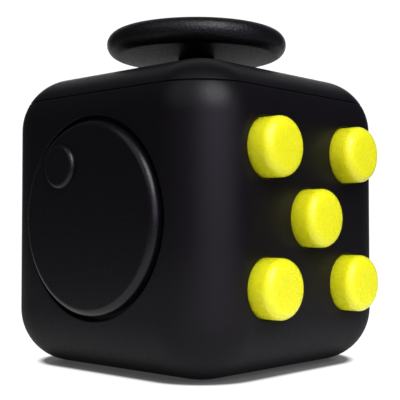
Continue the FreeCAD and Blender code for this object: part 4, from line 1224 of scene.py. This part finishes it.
# Brightness of each part of the studio. Lengths are in millimetres, colours are linear.
studio = {
    # The glow keys set the floor's painted pool of light.
    "tableGlow": 0.93,
    "glowAside": 0.06,
    "glowReach": 26.0,
    "glowWiden": 0.26,
    "glowFade": 48.0,
    "glowFront": 30.0,
    # The shade keys set the painted shadow on the floor round the cube's foot.
    "shade": 0.05,
    "shadeHalf": 14.9,
    "shadeFade": 0.5,
    "backWall": (1.06, 1.06, 1.06),
    "backEdges": (0.87, 0.945),
    "frontWall": (2.1, 1.9, 2.5),
    "frontAzimuth": -19,
    "frontEdges": (0.68, 0.97),
    "cloth": (0.05, 0.05, 0.055),
    "tableGrey": 0.12,
}
lamps = {
    "key": {"azimuth": -20, "elevation": 43, "distance": 0.5, "size": 0.36, "power": 2.35},
    "side": {"azimuth": -78, "elevation": 48, "distance": 0.5, "size": 0.6, "power": 0.7},
    "rear": {"azimuth": 133, "elevation": 35, "distance": 0.6, "size": 0.6, "power": 0.25},
}


# The way the camera looks over the table, and its right.
backward = (-0.678, 0.735, 0.0)
sideways = (0.735, 0.678, 0.0)


def makeFloor():
    # An opal acrylic table lit from below, with painted light and painted shadow in its glow. The
    # painted pool of light is brightest in a band that runs back under the cube, along the way the
    # camera looks, and widens. The painted shadow is dark where the cube stands on it and under its
    # round foot.
    # The distance out from a square with round corners is the length of what lies past its inner
    # square.
    bpy.ops.mesh.primitive_plane_add(size=6.0)
    floor = bpy.context.object
    floor.name = "light_table"
    material, tree, coords, shader = newMaterial("opal acrylic, painted glow and shadow")

    def vector(operation, first, second=None):
        inputs = {0: first} if second is None else {0: first, 1: second}
        return addNode(tree, "ShaderNodeVectorMath", inputs, operation=operation)

    def number(operation, *values):
        inputs = dict(enumerate(values))
        return addNode(tree, "ShaderNodeMath", inputs, operation=operation).outputs[0]

    along = vector("DOT_PRODUCT", coords, backward).outputs["Value"]
    behind = number("MAXIMUM", along, 0.0)
    ahead = number("MAXIMUM", number("SUBTRACT", -studio["glowFront"] * mm, along), 0.0)
    aside = number("ABSOLUTE", vector("DOT_PRODUCT", coords, sideways).outputs["Value"])
    widened = number("MULTIPLY_ADD", behind, -studio["glowWiden"], aside)
    widened = number("MAXIMUM", widened, number("ADD", ahead, studio["glowReach"] * mm))
    near, far = studio["glowReach"] * mm, (studio["glowReach"] + studio["glowFade"]) * mm
    # The painted pool of light: the glow is tableGlow in the band behind the cube and fades to
    # glowAside.
    band = spread(tree, widened, studio["tableGlow"], studio["glowAside"], near, far)
    # The painted shadow: the glow falls to shade inside shadeHalf, under and round the cube's foot.
    inner = (studio["shadeHalf"] - cube["cornerRadius"]) * mm
    size = vector("ABSOLUTE", coords).outputs["Vector"]
    past = vector("SUBTRACT", size, (inner, inner, 0)).outputs["Vector"]
    past = vector("MAXIMUM", past, (0, 0, 0)).outputs["Vector"]
    away = vector("LENGTH", past).outputs["Value"]
    edge, fade = cube["cornerRadius"] * mm, studio["shadeFade"] * mm
    shade = spread(tree, away, studio["shade"], 1.0, edge - fade, edge + fade)
    grey = studio["tableGrey"]
    shader.inputs["Base Color"].default_value = (grey, grey, grey, 1)
    shader.inputs["Roughness"].default_value = 0.6
    shader.inputs["Specular IOR Level"].default_value = 0.2
    shader.inputs["Emission Color"].default_value = (1, 1, 1, 1)
    tree.links.new(number("MULTIPLY", band, shade), shader.inputs["Emission Strength"])
    floor.data.materials.append(material)


def areaLight(name, azimuth, elevation, distance, size, power):
    # A soft box that faces the cube. Azimuth is counter-clockwise from +X, both angles in degrees.
    light = bpy.data.lights.new(name, "AREA")
    light.shape = "DISK"
    light.size = size
    light.energy = power
    lamp = bpy.data.objects.new(name, light)
    bpy.context.scene.collection.objects.link(lamp)
    heading, up = math.radians(azimuth), math.radians(elevation)
    level = math.cos(up)
    away = Vector((math.cos(heading) * level, math.sin(heading) * level, math.sin(up)))
    lamp.location = Vector((0, 0, half * mm)) + away * distance
    lamp.rotation_euler = away.to_track_quat("Z", "Y").to_euler()
    return lamp


def mixColour(tree, factor, first, second):
    node = addNode(tree, "ShaderNodeMix", {"Factor": factor}, data_type="RGBA")
    sockets = [s for s in node.inputs if s.type == "RGBA"]
    for socket, value in zip(sockets, (first, second)):
        if isinstance(value, bpy.types.NodeSocket):
            tree.links.new(value, socket)
        else:
            socket.default_value = (*value, 1.0)
    return next(s for s in node.outputs if s.type == "RGBA")


def makeWorld():
    # A pale wall behind the cube, a bright one to the right of the camera, and dark cloth on both
    # sides and overhead. Each wall fades in between two cosines of the angle from its middle.
    world = bpy.data.worlds.new("studio")
    bpy.context.scene.world = world
    world.use_nodes = True
    tree = world.node_tree
    tree.nodes.clear()
    direction = addNode(tree, "ShaderNodeTexCoord").outputs["Generated"]
    angle = math.radians(studio["frontAzimuth"])

    def wallLight(middle, edges):
        inputs = {0: direction, 1: middle}
        cosine = addNode(tree, "ShaderNodeVectorMath", inputs, operation="DOT_PRODUCT")
        return spread(tree, cosine.outputs["Value"], 0.0, 1.0, *edges)

    back = wallLight(backward, studio["backEdges"])
    front = wallLight((math.cos(angle), math.sin(angle), 0.0), studio["frontEdges"])
    wall = mixColour(tree, back, studio["cloth"], studio["backWall"])
    whole = mixColour(tree, front, wall, studio["frontWall"])
    background = addNode(tree, "ShaderNodeBackground", {"Color": whole, "Strength": 1.0})
    output = addNode(tree, "ShaderNodeOutputWorld")
    tree.links.new(background.outputs["Background"], output.inputs["Surface"])


# Where the camera stands, in metres, and how it is turned, in degrees.
shot = {"lens": 81.1, "place": (0.0731, -0.07854, 0.01534), "tilt": 91.86, "heading": 42.72}


def makeCamera():
    camera = bpy.data.cameras.new("camera")
    camera.lens = shot["lens"]
    camera.sensor_width = 36.0
    camera.clip_start = mm
    view = bpy.data.objects.new("camera", camera)
    bpy.context.scene.collection.objects.link(view)
    view.location = shot["place"]
    view.rotation_euler = (math.radians(shot["tilt"]), 0, math.radians(shot["heading"]))
    bpy.context.scene.camera = view


makeFloor()
makeWorld()
for name, lamp in lamps.items():
    areaLight(name, **lamp)
makeCamera()
bpy.context.scene.view_settings.view_transform = "Standard"
print("studio made")
